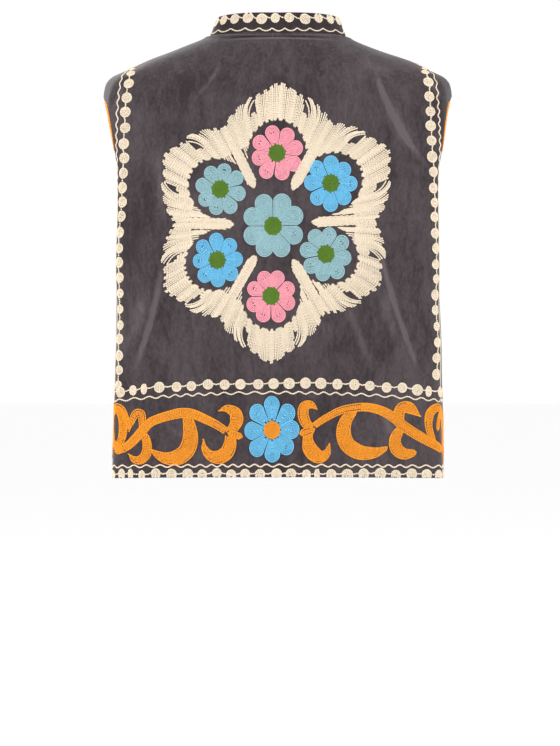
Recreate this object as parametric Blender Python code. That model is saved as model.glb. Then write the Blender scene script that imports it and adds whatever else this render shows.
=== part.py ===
"""Sleeveless velvet waistcoat with a standing collar, hollow and filled out as it is when worn.

Metres, +Z up. The fronts face -Y and the back faces +Y; the wearer's left is +X.
The origin is where the wearer's shoulders hold the garment: between the two shoulder seams, at the
height of their middle. Every panel is cut as a flat slab of cloth and then wrapped round a general
figure, whose horizontal sections are the rows of SECTIONS.
"""

import math

import bmesh
import bpy
import numpy as np

CLOTH = 0.0020
COLLAR_CLOTH = 0.0026
SEAM_GAP = 0.0003

# Heights of the garment's lines, measured from the held point.
HEM_Z = -0.553
UNDERARM_Z = -0.255
SHOULDER_TIP_Z = -0.058
HEM_RISE_AT_BACK = 0.0036

# The neck hole, as seen from above. Roundness 2 is an ellipse.
NECK_HALF_WIDTH = 0.088
NECK_DEPTH = {"back": 0.057, "front": 0.074}
NECK_ROUNDNESS = 1.85

# How far each armhole is cut in from the side line, along the cloth.
ARMHOLE_CUT = {"back": 0.070, "front": 0.080}
ARMHOLE_ROUNDNESS = {"lower": 2.0, "upper": 2.2}

# Half the gap between the two front edges, which hang open from neck to hem.
FRONT_GAP_AT_NECK = 0.004
FRONT_GAP_AT_HEM = 0.014

COLLAR_HEIGHT = {"back": 0.0278, "side": 0.0266, "front": 0.0255}
COLLAR_LEAN = {"back": math.radians(13), "side": math.radians(21), "front": math.radians(10)}
COLLAR_FRONT_CORNER = 0.010

# Cells of each slab. The panels and the collar match point for point along every seam. A panel's
# outer columns end at the ledge of the armhole, and the others run on up to the neck and shoulder.
PANEL_ROWS = 32
HALF_COLUMNS = 30
LEDGE_COLUMNS = 6
NECK_COLUMNS = 12
SIDE_SEAM_ROWS = 16
COLLAR_COLUMNS = 4 * NECK_COLUMNS
COLLAR_ROWS = 3
SIDE_SEAM_SHARE = SIDE_SEAM_ROWS / PANEL_ROWS
INNER_SHARE = 1 - LEDGE_COLUMNS / HALF_COLUMNS
LEDGE_TURN = math.radians(44)
SECTION_SAMPLES = 241

# The figure's sections. Boxiness 1 is a flat back that turns a tight corner into a flat side, as the
# cloth hangs below the shoulders, and 0 is the soft round of the shoulders themselves.
SECTIONS = np.array(
    [
        (-0.570, 0.2150, 0.1060, 0.1160, 1.00),
        (-0.553, 0.2145, 0.1060, 0.1160, 1.00),
        (-0.400, 0.2112, 0.1030, 0.1160, 1.00),
        (-0.300, 0.2094, 0.1040, 0.1185, 1.00),
        (-0.220, 0.2080, 0.1065, 0.1190, 1.00),
        (-0.160, 0.2098, 0.1070, 0.1120, 1.00),
        (-0.122, 0.2170, 0.1050, 0.1040, 0.96),
        (-0.090, 0.2230, 0.1015, 0.0940, 0.88),
        (-0.064, 0.2262, 0.0970, 0.0840, 0.74),
        (-0.052, 0.2254, 0.0945, 0.0785, 0.64),
        (-0.042, 0.2232, 0.0920, 0.0735, 0.52),
        (-0.034, 0.2166, 0.0895, 0.0695, 0.40),
        (-0.027, 0.2018, 0.0870, 0.0660, 0.30),
        (-0.013, 0.1722, 0.0800, 0.0590, 0.14),
        (0.002, 0.1312, 0.0705, 0.0525, 0.05),
        (0.011, 0.1085, 0.0640, 0.0480, 0.00),
        (0.020, 0.0880, 0.0565, 0.0430, 0.00),
        (0.030, 0.0650, 0.0440, 0.0360, 0.00),
    ],
    dtype=[
        ("height", float),
        ("half_width", float),
        ("back_depth", float),
        ("front_depth", float),
        ("boxiness", float),
    ],
)

# Of a boxy section: how far the panel has turned where its corner begins, the corner's radius, and
# how far the side still has to turn after it.
PANEL_BOW = {"back": math.radians(13), "front": math.radians(24)}
CORNER_RADIUS = {"back": 0.017, "front": 0.030}
SIDE_BOW = math.radians(5)
# Of a soft one: 2 is an ellipse.
SOFT_SQUARENESS = {"back": 2.0, "front": 1.95}

# The largest soft folds. Each runs straight from its top to its foot, across is the distance along
# the cloth from the panel's centre line (towards +X on the back), and a negative rise is a trough.
FOLDS = np.array(
    [
        ("back", -0.126, -0.020, -0.186, -0.190, 0.013, 0.0050),
        ("back", -0.108, -0.030, -0.166, -0.205, 0.014, -0.0045),
        ("back", -0.146, -0.225, -0.198, -0.420, 0.014, 0.0050),
        ("back", -0.120, -0.240, -0.166, -0.440, 0.018, -0.0040),
        ("back", -0.060, -0.330, -0.068, -0.500, 0.022, 0.0030),
        ("back", 0.164, -0.215, 0.186, -0.430, 0.014, 0.0055),
        ("back", 0.136, -0.230, 0.150, -0.470, 0.018, -0.0040),
        ("back", 0.098, -0.330, 0.112, -0.480, 0.020, 0.0030),
        ("back", 0.130, -0.030, 0.176, -0.150, 0.016, 0.0035),
        ("front_left", 0.060, -0.200, 0.042, -0.500, 0.018, 0.0045),
        ("front_left", 0.104, -0.215, 0.098, -0.480, 0.018, -0.0040),
        ("front_left", 0.146, -0.250, 0.166, -0.470, 0.016, 0.0045),
        ("front_left", 0.110, -0.030, 0.168, -0.160, 0.015, 0.0040),
        ("front_right", 0.054, -0.225, 0.046, -0.520, 0.018, 0.0045),
        ("front_right", 0.096, -0.200, 0.108, -0.470, 0.017, -0.0040),
        ("front_right", 0.152, -0.270, 0.158, -0.500, 0.016, 0.0045),
        ("front_right", 0.118, -0.035, 0.160, -0.165, 0.015, 0.0035),
    ],
    dtype=[
        ("panel", "U12"),
        ("across_top", float),
        ("height_top", float),
        ("across_foot", float),
        ("height_foot", float),
        ("width", float),
        ("rise", float),
    ],
)
FOLD_FADE_AT_SEAMS = 0.030

# Lengths that are worked out once, when a seam first needs them.
shoulder_seam = {}
neck_seam = {}

VELVET = (0.086, 0.068, 0.073, 1.0)
COLLAR_VELVET = (0.070, 0.055, 0.060, 1.0)


def smooth_step(value):
    clipped = np.clip(value, 0.0, 1.0)
    return clipped * clipped * (3.0 - 2.0 * clipped)


def smooth_through(places, values, at):
    """A monotone cubic through the values, so that no row of a table shows as a kink."""
    slopes = np.diff(values) / np.diff(places)
    tangents = np.concatenate([slopes[:1], np.zeros(len(slopes) - 1), slopes[-1:]])
    same_way = slopes[:-1] * slopes[1:] > 0
    tangents[1:-1][same_way] = 2.0 / (1.0 / slopes[:-1][same_way] + 1.0 / slopes[1:][same_way])
    i = int(np.clip(np.searchsorted(places, at) - 1, 0, len(places) - 2))
    step = places[i + 1] - places[i]
    t = (at - places[i]) / step
    return (
        (2 * t**3 - 3 * t**2 + 1) * values[i]
        + (t**3 - 2 * t**2 + t) * step * tangents[i]
        + (3 * t**2 - 2 * t**3) * values[i + 1]
        + (t**3 - t**2) * step * tangents[i + 1]
    )


def distance_along(x, y):
    return np.concatenate([[0.0], np.cumsum(np.hypot(np.diff(x), np.diff(y)))])


def evenly(x, y):
    """The same outline with its points a constant distance apart."""
    along = distance_along(x, y)
    even = np.linspace(0.0, along[-1], SECTION_SAMPLES)
    return np.interp(even, along, x), np.interp(even, along, y)


def soft_outline(side, half_width, depth):
    turn = np.linspace(0.0, math.pi / 2, SECTION_SAMPLES)
    power = 2.0 / SOFT_SQUARENESS[side]
    return evenly(half_width * np.sin(turn) ** power, depth * np.abs(np.cos(turn)) ** power)


def boxy_outline(side, half_width, depth):
    """Three arcs that meet smoothly: over the panel, round the corner and along the side."""
    radius = CORNER_RADIUS[side]
    start, end = PANEL_BOW[side], math.pi / 2 - SIDE_BOW
    corner_x = radius * (math.sin(end) - math.sin(start))
    corner_y = radius * (math.cos(start) - math.cos(end))
    reach = [[math.sin(start), 1 - math.sin(end)], [1 - math.cos(start), math.cos(end)]]
    panel, flank = np.linalg.solve(reach, [half_width - corner_x, depth - corner_y])
    turn = np.linspace(0.0, math.pi / 2, 4 * SECTION_SAMPLES)
    middle = (turn[1:] + turn[:-1]) / 2
    bend = np.where(middle < start, panel, np.where(middle < end, radius, flank)) * np.diff(turn)
    x = np.concatenate([[0.0], np.cumsum(bend * np.cos(middle))])
    y = depth - np.concatenate([[0.0], np.cumsum(bend * np.sin(middle))])
    return evenly(x, np.maximum(y, 0.0))


class Section:
    """One quarter of the figure's outline at a height, from the centre line round to the side line."""

    made = {}

    def __init__(self, side, height):
        heights = SECTIONS["height"]
        self.half_width = smooth_through(heights, SECTIONS["half_width"], height)
        depth = smooth_through(heights, SECTIONS[side + "_depth"], height)
        boxiness = smooth_through(heights, SECTIONS["boxiness"], height)
        soft_x, soft_y = soft_outline(side, self.half_width, depth)
        boxy_x, boxy_y = boxy_outline(side, self.half_width, depth)
        self.x = soft_x + (boxy_x - soft_x) * boxiness
        self.y = soft_y + (boxy_y - soft_y) * boxiness
        self.along = distance_along(self.x, self.y)
        self.length = float(self.along[-1])

    @classmethod
    def at(cls, side, height):
        key = (side, round(float(height), 6))
        if key not in cls.made:
            cls.made[key] = cls(side, key[1])
        return cls.made[key]

    def point(self, across):
        return np.interp(across, self.along, self.x), np.interp(across, self.along, self.y)

    def across_at(self, x):
        return float(np.interp(x, self.x, self.along))


def figure_point(side, across, height):
    """A place on the figure. Across is signed, and the back lies at +Y."""
    section = Section.at(side, height)
    distance = abs(across)
    beyond = max(0.0, distance - section.length)
    x, y = section.point(min(distance, section.length))
    y_sign = 1.0 if side == "back" else -1.0
    return np.array([math.copysign(x, across), y_sign * (y - beyond), height])


def figure_normal(side, across, height):
    """The outward normal there, from two short steps along the cloth."""
    step = 0.0008
    along = figure_point(side, across + step, height) - figure_point(side, across - step, height)
    up = figure_point(side, across, height + step) - figure_point(side, across, height - step)
    normal = np.cross(up, along) if side == "back" else np.cross(along, up)
    return normal / np.linalg.norm(normal)


def fold_rise(panel, across, height, seam_distance):
    """How far the cloth stands off the figure here, from every fold of this panel."""
    total = 0.0
    for fold in FOLDS[FOLDS["panel"] == panel]:
        top = np.array([fold["across_top"], fold["height_top"]])
        run = np.array([fold["across_foot"], fold["height_foot"]]) - top
        length = np.linalg.norm(run)
        offset = np.array([across, height]) - top
        share = float(offset @ run) / length**2
        sideways = abs(offset[0] * run[1] - offset[1] * run[0]) / length
        fade = smooth_step(share / 0.25) * smooth_step((1.0 - share) / 0.25)
        total += fold["rise"] * math.exp(-((sideways / fold["width"]) ** 2)) * fade
    return total * float(smooth_step(seam_distance / FOLD_FADE_AT_SEAMS))


def cloth_point(panel, side, across, height, depth):
    """A point of a panel: its place on the folded outer face, moved in by depth."""
    seam_distance = Section.at(side, height).length - abs(across)
    rise = fold_rise(panel, across, height, seam_distance)
    place = figure_point(side, across, height)
    return place + figure_normal(side, across, height) * (rise - depth)


def neck_place(side, turn):
    """(across, height) of the neck hole's edge, where turn is 0 at the shoulder and 90 degrees at the centre."""
    power = 2.0 / NECK_ROUNDNESS
    x = NECK_HALF_WIDTH * abs(math.cos(turn)) ** power
    y = NECK_DEPTH[side] * math.sin(turn) ** power
    low, high = SHOULDER_TIP_Z, float(SECTIONS["height"][-1])
    for _ in range(40):
        middle = (low + high) / 2
        section = Section.at(side, middle)
        inside = np.interp(x, section.x, section.y) > y if x < section.half_width else False
        low, high = (middle, high) if inside else (low, middle)
    return Section.at(side, low).across_at(x), low


def neck_end_turn():
    """The turn at which the neck hole meets the front edge."""
    return math.acos((FRONT_GAP_AT_NECK / NECK_HALF_WIDTH) ** (NECK_ROUNDNESS / 2.0))


def front_gap(height):
    share = (height - HEM_Z) / (neck_place("front", math.pi / 2)[1] - HEM_Z)
    return FRONT_GAP_AT_HEM + (FRONT_GAP_AT_NECK - FRONT_GAP_AT_HEM) * share


def hem_height(side, share):
    rise = HEM_RISE_AT_BACK if side == "back" else 0.0
    return HEM_Z + rise * (1.0 - share**2)


def armhole_cut(side, height):
    """How far the armhole's edge lies from the side line, along the cloth."""
    share = np.clip((height - UNDERARM_Z) / (SHOULDER_TIP_Z - UNDERARM_Z), 0.0, 1.0)
    roundness = ARMHOLE_ROUNDNESS["lower" if share < 0.5 else "upper"]
    bow = (1.0 - abs(2.0 * share - 1.0) ** roundness) ** (1.0 / roundness)
    return max(SEAM_GAP / 2, ARMHOLE_CUT[side] * bow)


def side_seam(side, share):
    """(across, height) up the side seam, from the hem to the underarm."""
    height = HEM_Z + (UNDERARM_Z - HEM_Z) * share
    return Section.at(side, height).length - SEAM_GAP / 2, height


def armhole_place(side, turn):
    """(across, height) round the armhole, from the underarm (0) to the shoulder's tip (180 degrees)."""
    height = UNDERARM_Z + (SHOULDER_TIP_Z - UNDERARM_Z) * (1.0 - math.cos(turn)) / 2
    return Section.at(side, height).length - armhole_cut(side, height), height


def inner_edge(side, v):
    """(across, height) up the first column of the ledge, and on round the armhole to the tip."""
    if v > SIDE_SEAM_SHARE:
        share = (v - SIDE_SEAM_SHARE) / (1.0 - SIDE_SEAM_SHARE)
        return armhole_place(side, LEDGE_TURN + (math.pi - LEDGE_TURN) * share)
    foot, top = hem_edge(side, INNER_SHARE), armhole_place(side, LEDGE_TURN)
    share = v / SIDE_SEAM_SHARE
    return tuple(a + (b - a) * share for a, b in zip(foot, top))


def top_edge(side, u):
    """(across, height) round the neck hole and on along the shoulder seam to its tip."""
    neck_share = NECK_COLUMNS / (HALF_COLUMNS - LEDGE_COLUMNS)
    if u <= neck_share:
        centre = math.pi / 2
        if side == "front":
            centre = neck_end_turn()
        across, height = neck_place(side, centre * (1.0 - u / neck_share))
        return min(across, Section.at(side, height).length - SEAM_GAP / 2), height
    height = shoulder_seam_height((u - neck_share) / (1.0 - neck_share))
    return Section.at(side, height).length - SEAM_GAP / 2, height


def shoulder_seam_height(share):
    """Even steps along the shoulder seam, from the neck hole (0) over the shoulder to its tip (1)."""
    if "heights" not in shoulder_seam:
        heights = np.linspace(neck_place("back", 0.0)[1], SHOULDER_TIP_Z, SECTION_SAMPLES)
        widths = [Section.at("back", height).half_width for height in heights]
        steps = np.hypot(np.diff(widths), np.diff(heights))
        shoulder_seam["heights"] = heights
        shoulder_seam["along"] = np.concatenate([[0.0], np.cumsum(steps)]) / steps.sum()
    return float(np.interp(share, shoulder_seam["along"], shoulder_seam["heights"]))


def centre_edge(side, v):
    """(across, height) of the centre back, or of the front edge."""
    if side == "back":
        top = neck_place(side, math.pi / 2)[1]
        return 0.0, hem_height(side, 0.0) + (top - hem_height(side, 0.0)) * v
    top = top_edge(side, 0.0)[1]
    height = HEM_Z + (top - HEM_Z) * v
    return Section.at(side, height).across_at(front_gap(height)), height


def hem_edge(side, u):
    inner, outer = centre_edge(side, 0.0)[0], side_seam(side, 0.0)[0]
    return inner + (outer - inner) * u, hem_height(side, u)


def blended(left, right, bottom, top, u, v):
    """(across, height) inside four edges, each a function of the share along it."""
    ruled_across = (1 - u) * np.array(left(v)) + u * np.array(right(v))
    ruled_up = (1 - v) * np.array(bottom(u)) + v * np.array(top(u))
    foot = (1 - u) * np.array(bottom(0.0)) + u * np.array(bottom(1.0))
    head = (1 - u) * np.array(top(0.0)) + u * np.array(top(1.0))
    return ruled_across + ruled_up - (1 - v) * foot - v * head


def panel_place(side, u, v):
    """(across, height) inside the flat panel: the part under the armhole's ledge, or the rest."""
    if u > INNER_SHARE + 1e-6:
        return blended(
            lambda share: inner_edge(side, share * SIDE_SEAM_SHARE),
            lambda share: side_seam(side, share),
            lambda share: hem_edge(side, INNER_SHARE + (1.0 - INNER_SHARE) * share),
            lambda share: armhole_place(side, LEDGE_TURN * (1.0 - share)),
            (u - INNER_SHARE) / (1.0 - INNER_SHARE),
            min(v / SIDE_SEAM_SHARE, 1.0),
        )
    return blended(
        lambda share: centre_edge(side, share),
        lambda share: inner_edge(side, share),
        lambda share: hem_edge(side, INNER_SHARE * share),
        lambda share: top_edge(side, share),
        min(u / INNER_SHARE, 1.0),
        v,
    )


def in_armhole(u, v):
    return abs(u) > INNER_SHARE and v > SIDE_SEAM_SHARE


def back_wrap(u, v, depth):
    """The back spans both halves: u runs from the right side seam (-1) to the left (1)."""
    across, height = panel_place("back", abs(u), v)
    return cloth_point("back", "back", math.copysign(across, u), height, depth)


def front_wrap(panel, x_sign):
    def wrap(u, v, depth):
        across, height = panel_place("front", u, v)
        point = cloth_point(panel, "front", across, height, depth)
        return point * np.array([x_sign, 1.0, 1.0])

    return wrap


def neck_curve(share):
    """A point of the neck hole's edge. Share runs from -1 at the right front, by 0 at the back, to 1."""
    half = abs(share)
    if half <= 0.5:
        side, turn = "back", math.pi / 2 * (1.0 - half / 0.5)
    else:
        side, turn = "front", neck_end_turn() * (half - 0.5) / 0.5
    across, height = neck_place(side, turn)
    point = figure_point(side, across, height)
    return point * np.array([math.copysign(1.0, share), 1.0, 1.0])


def round_the_neck(table, share):
    """A value of the collar that changes from back to side to front."""
    half = abs(share)
    if half <= 0.5:
        return table["back"] + (table["side"] - table["back"]) * smooth_step(half / 0.5)
    return table["side"] + (table["front"] - table["side"]) * smooth_step((half - 0.5) / 0.5)


def collar_wrap(u, v, depth):
    """The collar stands on the neck hole's edge and leans in towards the neck."""
    step = 0.01
    base = neck_curve(u)
    tangent = neck_curve(min(u + step, 1.0)) - neck_curve(max(u - step, -1.0))
    tangent /= np.linalg.norm(tangent)
    up = np.array([0.0, 0.0, 1.0]) - tangent * tangent[2]
    up /= np.linalg.norm(up)
    outward = np.cross(up, tangent)
    lean = round_the_neck(COLLAR_LEAN, u)
    rise = math.cos(lean) * up - math.sin(lean) * outward
    face = math.cos(lean) * outward + math.sin(lean) * up
    height = float(round_the_neck(COLLAR_HEIGHT, u))
    end_distance = (1.0 - abs(u)) * half_neck_seam()
    corner = COLLAR_FRONT_CORNER
    if end_distance < corner:
        height -= corner - math.sqrt(corner**2 - (corner - end_distance) ** 2)
    return base + rise * (SEAM_GAP + height * v) - face * depth


def half_neck_seam():
    if "length" not in neck_seam:
        points = np.array([neck_curve(share) for share in np.linspace(0.0, 1.0, 60)])
        neck_seam["length"] = float(np.linalg.norm(np.diff(points, axis=0), axis=1).sum())
    return neck_seam["length"]


def velvet(name, colour, roughness):
    material = bpy.data.materials.new(name)
    material.use_nodes = True
    shader = material.node_tree.nodes["Principled BSDF"]
    shader.inputs["Base Color"].default_value = colour
    shader.inputs["Roughness"].default_value = roughness
    shader.inputs["Metallic"].default_value = 0.0
    shader.inputs["Sheen Weight"].default_value = 0.5
    material.diffuse_color = colour
    return material


def cut_and_wrap(name, cells, u_range, thickness, wrap, material, collection):
    """Cuts a flat slab of cloth as a grid, gives it its thickness and wraps every point of it."""
    mesh = bpy.data.meshes.new(name)
    cloth = bmesh.new()
    low, high = u_range
    bmesh.ops.create_grid(cloth, x_segments=cells[0], y_segments=cells[1], size=0.5)
    if name != "collar":
        middles = [(face, face.calc_center_median()) for face in cloth.faces]
        waste = [
            face for face, middle in middles
            if in_armhole(low + (high - low) * (middle.x + 0.5), middle.y + 0.5)
        ]
        bmesh.ops.delete(cloth, geom=waste, context="FACES")
    bmesh.ops.solidify(cloth, geom=cloth.faces[:], thickness=1.0)
    lowest = min(vert.co.z for vert in cloth.verts)
    for vert in cloth.verts:
        u = low + (high - low) * (vert.co.x + 0.5)
        depth = thickness * (1.0 - (vert.co.z - lowest))
        vert.co = wrap(u, vert.co.y + 0.5, depth)
    if cloth.calc_volume(signed=True) < 0:
        bmesh.ops.reverse_faces(cloth, faces=cloth.faces[:])
    cloth.to_mesh(mesh)
    cloth.free()
    mesh.shade_smooth()
    mesh.set_sharp_from_angle(angle=math.radians(50))
    mesh.materials.append(material)
    panel = bpy.data.objects.new(name, mesh)
    collection.objects.link(panel)
    return panel


def main():
    for old in list(bpy.data.objects):
        bpy.data.objects.remove(old)
    waistcoat = bpy.data.collections.new("waistcoat")
    bpy.context.scene.collection.children.link(waistcoat)
    body_cloth = velvet("velvet", VELVET, 0.85)
    collar_cloth = velvet("collar_velvet", COLLAR_VELVET, 0.85)
    back_cells = (2 * HALF_COLUMNS, PANEL_ROWS)
    cut_and_wrap("back", back_cells, (-1.0, 1.0), CLOTH, back_wrap, body_cloth, waistcoat)
    front_cells = (HALF_COLUMNS, PANEL_ROWS)
    for name, x_sign in (("front_left", 1.0), ("front_right", -1.0)):
        wrap = front_wrap(name, x_sign)
        cut_and_wrap(name, front_cells, (0.0, 1.0), CLOTH, wrap, body_cloth, waistcoat)
    collar_cells = (COLLAR_COLUMNS, COLLAR_ROWS)
    cut_and_wrap(
        "collar", collar_cells, (-1.0, 1.0), COLLAR_CLOTH, collar_wrap, collar_cloth, waistcoat
    )


main()
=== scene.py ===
"""The embroidered velvet waistcoat: its cloth, its needlework, the light and the camera.

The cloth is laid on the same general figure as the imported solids, from the same sizes, with finer
cells and its small creases. The needlework is rows of chain stitch, drawn flat on each panel and
then laid on the folded cloth. Sizes are in metres.
"""

import math

import bpy
import numpy as np
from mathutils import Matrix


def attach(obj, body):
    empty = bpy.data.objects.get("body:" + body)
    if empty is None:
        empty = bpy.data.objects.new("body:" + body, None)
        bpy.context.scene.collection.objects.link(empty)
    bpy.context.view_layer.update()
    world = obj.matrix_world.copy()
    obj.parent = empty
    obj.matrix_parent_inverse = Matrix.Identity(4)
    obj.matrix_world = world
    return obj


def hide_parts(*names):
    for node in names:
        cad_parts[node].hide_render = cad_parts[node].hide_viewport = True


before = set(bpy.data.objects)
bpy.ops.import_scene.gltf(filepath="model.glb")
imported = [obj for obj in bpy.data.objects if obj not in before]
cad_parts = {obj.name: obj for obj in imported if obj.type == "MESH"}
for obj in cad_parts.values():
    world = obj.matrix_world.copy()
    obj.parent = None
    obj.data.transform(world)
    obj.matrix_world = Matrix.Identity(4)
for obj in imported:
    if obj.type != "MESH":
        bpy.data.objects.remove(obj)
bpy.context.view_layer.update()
collection = bpy.context.scene.collection

# ---------------------------------------------------------------- the garment's sizes
# They are the part's own, but for the seams, which are drawn nearly shut so that no light shows
# through them.
CLOTH = 0.0020
COLLAR_CLOTH = 0.0026
SEAM_GAP = 0.00004
HEM_Z = -0.553
UNDERARM_Z = -0.255
SHOULDER_TIP_Z = -0.058
HEM_RISE_AT_BACK = 0.0036
NECK_HALF_WIDTH = 0.088
NECK_DEPTH = {"back": 0.057, "front": 0.074}
NECK_ROUNDNESS = 1.85
ARMHOLE_CUT = {"back": 0.070, "front": 0.080}
ARMHOLE_ROUNDNESS = {"lower": 2.0, "upper": 2.2}
FRONT_GAP_AT_NECK = 0.004
FRONT_GAP_AT_HEM = 0.014
COLLAR_HEIGHT = {"back": 0.0278, "side": 0.0266, "front": 0.0255}
COLLAR_LEAN = {"back": math.radians(13), "side": math.radians(21), "front": math.radians(10)}
COLLAR_FRONT_CORNER = 0.010
PANEL_BOW = {"back": math.radians(13), "front": math.radians(24)}
CORNER_RADIUS = {"back": 0.017, "front": 0.030}
SIDE_BOW = math.radians(5)
SOFT_SQUARENESS = {"back": 2.0, "front": 1.95}
LEDGE_TURN = math.radians(44)

# The figure's sections: height, half width, depth at the back and at the front, boxiness.
SECTIONS = np.array(
    [
        (-0.570, 0.2150, 0.1060, 0.1160, 1.00),
        (-0.553, 0.2145, 0.1060, 0.1160, 1.00),
        (-0.400, 0.2112, 0.1030, 0.1160, 1.00),
        (-0.300, 0.2094, 0.1040, 0.1185, 1.00),
        (-0.220, 0.2080, 0.1065, 0.1190, 1.00),
        (-0.160, 0.2098, 0.1070, 0.1120, 1.00),
        (-0.122, 0.2170, 0.1050, 0.1040, 0.96),
        (-0.090, 0.2230, 0.1015, 0.0940, 0.88),
        (-0.064, 0.2262, 0.0970, 0.0840, 0.74),
        (-0.052, 0.2254, 0.0945, 0.0785, 0.64),
        (-0.042, 0.2232, 0.0920, 0.0735, 0.52),
        (-0.034, 0.2166, 0.0895, 0.0695, 0.40),
        (-0.027, 0.2018, 0.0870, 0.0660, 0.30),
        (-0.013, 0.1722, 0.0800, 0.0590, 0.14),
        (0.002, 0.1312, 0.0705, 0.0525, 0.05),
        (0.011, 0.1085, 0.0640, 0.0480, 0.00),
        (0.020, 0.0880, 0.0565, 0.0430, 0.00),
        (0.030, 0.0650, 0.0440, 0.0360, 0.00),
    ]
)

# Folds and creases: panel, across and height of the top, across and height of the foot, width, rise
# and how far the line bows sideways at its middle. A negative rise is a trough. The first ones are
# the part's own large folds.
FOLDS = [
    ("back", -0.126, -0.020, -0.186, -0.190, 0.013, 0.0050, 0),
    ("back", -0.108, -0.030, -0.166, -0.205, 0.014, -0.0045, 0),
    ("back", -0.146, -0.225, -0.198, -0.420, 0.014, 0.0050, 0),
    ("back", -0.120, -0.240, -0.166, -0.440, 0.018, -0.0040, 0),
    ("back", -0.060, -0.330, -0.068, -0.500, 0.022, 0.0030, 0),
    ("back", 0.164, -0.215, 0.186, -0.430, 0.014, 0.0055, 0),
    ("back", 0.136, -0.230, 0.150, -0.470, 0.018, -0.0040, 0),
    ("back", 0.098, -0.330, 0.112, -0.480, 0.020, 0.0030, 0),
    ("back", 0.130, -0.030, 0.176, -0.150, 0.016, 0.0035, 0),
    ("front_left", 0.060, -0.200, 0.042, -0.500, 0.018, 0.0045, 0),
    ("front_left", 0.104, -0.215, 0.098, -0.480, 0.018, -0.0040, 0),
    ("front_left", 0.146, -0.250, 0.166, -0.470, 0.016, 0.0045, 0),
    ("front_left", 0.110, -0.030, 0.168, -0.160, 0.015, 0.0040, 0),
    ("front_right", 0.054, -0.225, 0.046, -0.520, 0.018, 0.0045, 0),
    ("front_right", 0.096, -0.200, 0.108, -0.470, 0.017, -0.0040, 0),
    ("front_right", 0.152, -0.270, 0.158, -0.500, 0.016, 0.0045, 0),
    ("front_right", 0.118, -0.035, 0.160, -0.165, 0.015, 0.0035, 0),
    ("back", -0.124, -0.018, -0.198, -0.160, 0.006, 0.0024, -0.007),
    ("back", -0.112, -0.030, -0.180, -0.185, 0.007, -0.0018, -0.005),
    ("back", -0.168, -0.240, -0.196, -0.330, 0.005, 0.0015, -0.004),
    ("back", -0.182, -0.330, -0.196, -0.430, 0.006, -0.0014, 0.004),
    ("back", 0.176, -0.130, 0.164, -0.250, 0.006, 0.0014, 0.005),
    ("back", 0.152, -0.290, 0.188, -0.420, 0.006, 0.0024, -0.004),
    ("back", -0.126, -0.250, -0.188, -0.430, 0.006, 0.0022, 0.004),
    ("back", -0.088, -0.325, -0.126, -0.424, 0.008, 0.0013, 0.0),
    ("back", 0.178, -0.350, 0.190, -0.450, 0.005, -0.0018, 0.003),
    ("back", 0.172, -0.425, 0.184, -0.480, 0.004, 0.0018, 0.002),
    ("back", 0.100, -0.345, 0.142, -0.372, 0.006, 0.0013, 0.003),
    ("back", -0.095, -0.356, -0.128, -0.372, 0.006, 0.0012, -0.003),
    ("back", 0.126, -0.484, 0.170, -0.492, 0.005, 0.0014, 0.003),
    ("back", 0.060, -0.505, 0.176, -0.528, 0.005, -0.0015, -0.004),
    ("back", 0.080, -0.020, 0.094, 0.004, 0.004, 0.0013, 0.002),
    ("back", 0.205, -0.040, 0.222, -0.075, 0.004, -0.0012, 0.002),
    ("back", 0.190, -0.050, 0.214, -0.090, 0.004, 0.0012, 0.002),
    ("back", -0.196, -0.046, -0.220, -0.084, 0.004, -0.0012, -0.002),
    ("back", 0.010, -0.300, 0.022, -0.420, 0.012, 0.0010, 0.006),
    ("back", -0.030, -0.020, -0.042, -0.110, 0.012, 0.0010, 0.004),
    ("front_left", 0.030, -0.110, 0.060, -0.220, 0.008, 0.0016, 0.006),
    ("front_left", 0.120, -0.190, 0.150, -0.300, 0.007, -0.0016, 0.005),
    ("front_left", 0.070, -0.380, 0.060, -0.520, 0.007, 0.0014, -0.004),
    ("front_left", 0.190, -0.290, 0.200, -0.420, 0.007, 0.0016, 0.004),
    ("front_left", 0.150, -0.060, 0.186, -0.130, 0.005, -0.0014, 0.003),
    ("front_right", 0.034, -0.130, 0.050, -0.240, 0.008, 0.0015, 0.005),
    ("front_right", 0.130, -0.220, 0.146, -0.330, 0.007, -0.0016, -0.005),
    ("front_right", 0.080, -0.400, 0.066, -0.530, 0.007, 0.0014, 0.004),
    ("front_right", 0.186, -0.270, 0.206, -0.400, 0.007, 0.0016, -0.004),
    ("front_right", 0.146, -0.070, 0.182, -0.140, 0.005, -0.0014, 0.003),
]
FOLD_FADE_AT_SEAMS = 0.030

# ---------------------------------------------------------------- the needlework's sizes
ROW = 0.0018
STITCH = 0.0030
PETAL_STITCH, FINE_STITCH, HEART_STITCH, SEWN_STITCH = 0.0027, 0.0024, 0.0023, 0.0031
# Petal rows are drawn this much narrower, so that each hoop shows.
PETAL_ROW = 0.84
DISC = 0.0068
COLLAR_DISC = 0.0070

# ---------------------------------------------------------------- the figure
SECTION_SAMPLES = 241
ROW_OF_TABLE = 0.002
TABLE_LOW, TABLE_HIGH = -0.572, 0.032


def smooth_step(value):
    clipped = np.clip(value, 0.0, 1.0)
    return clipped * clipped * (3.0 - 2.0 * clipped)


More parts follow.
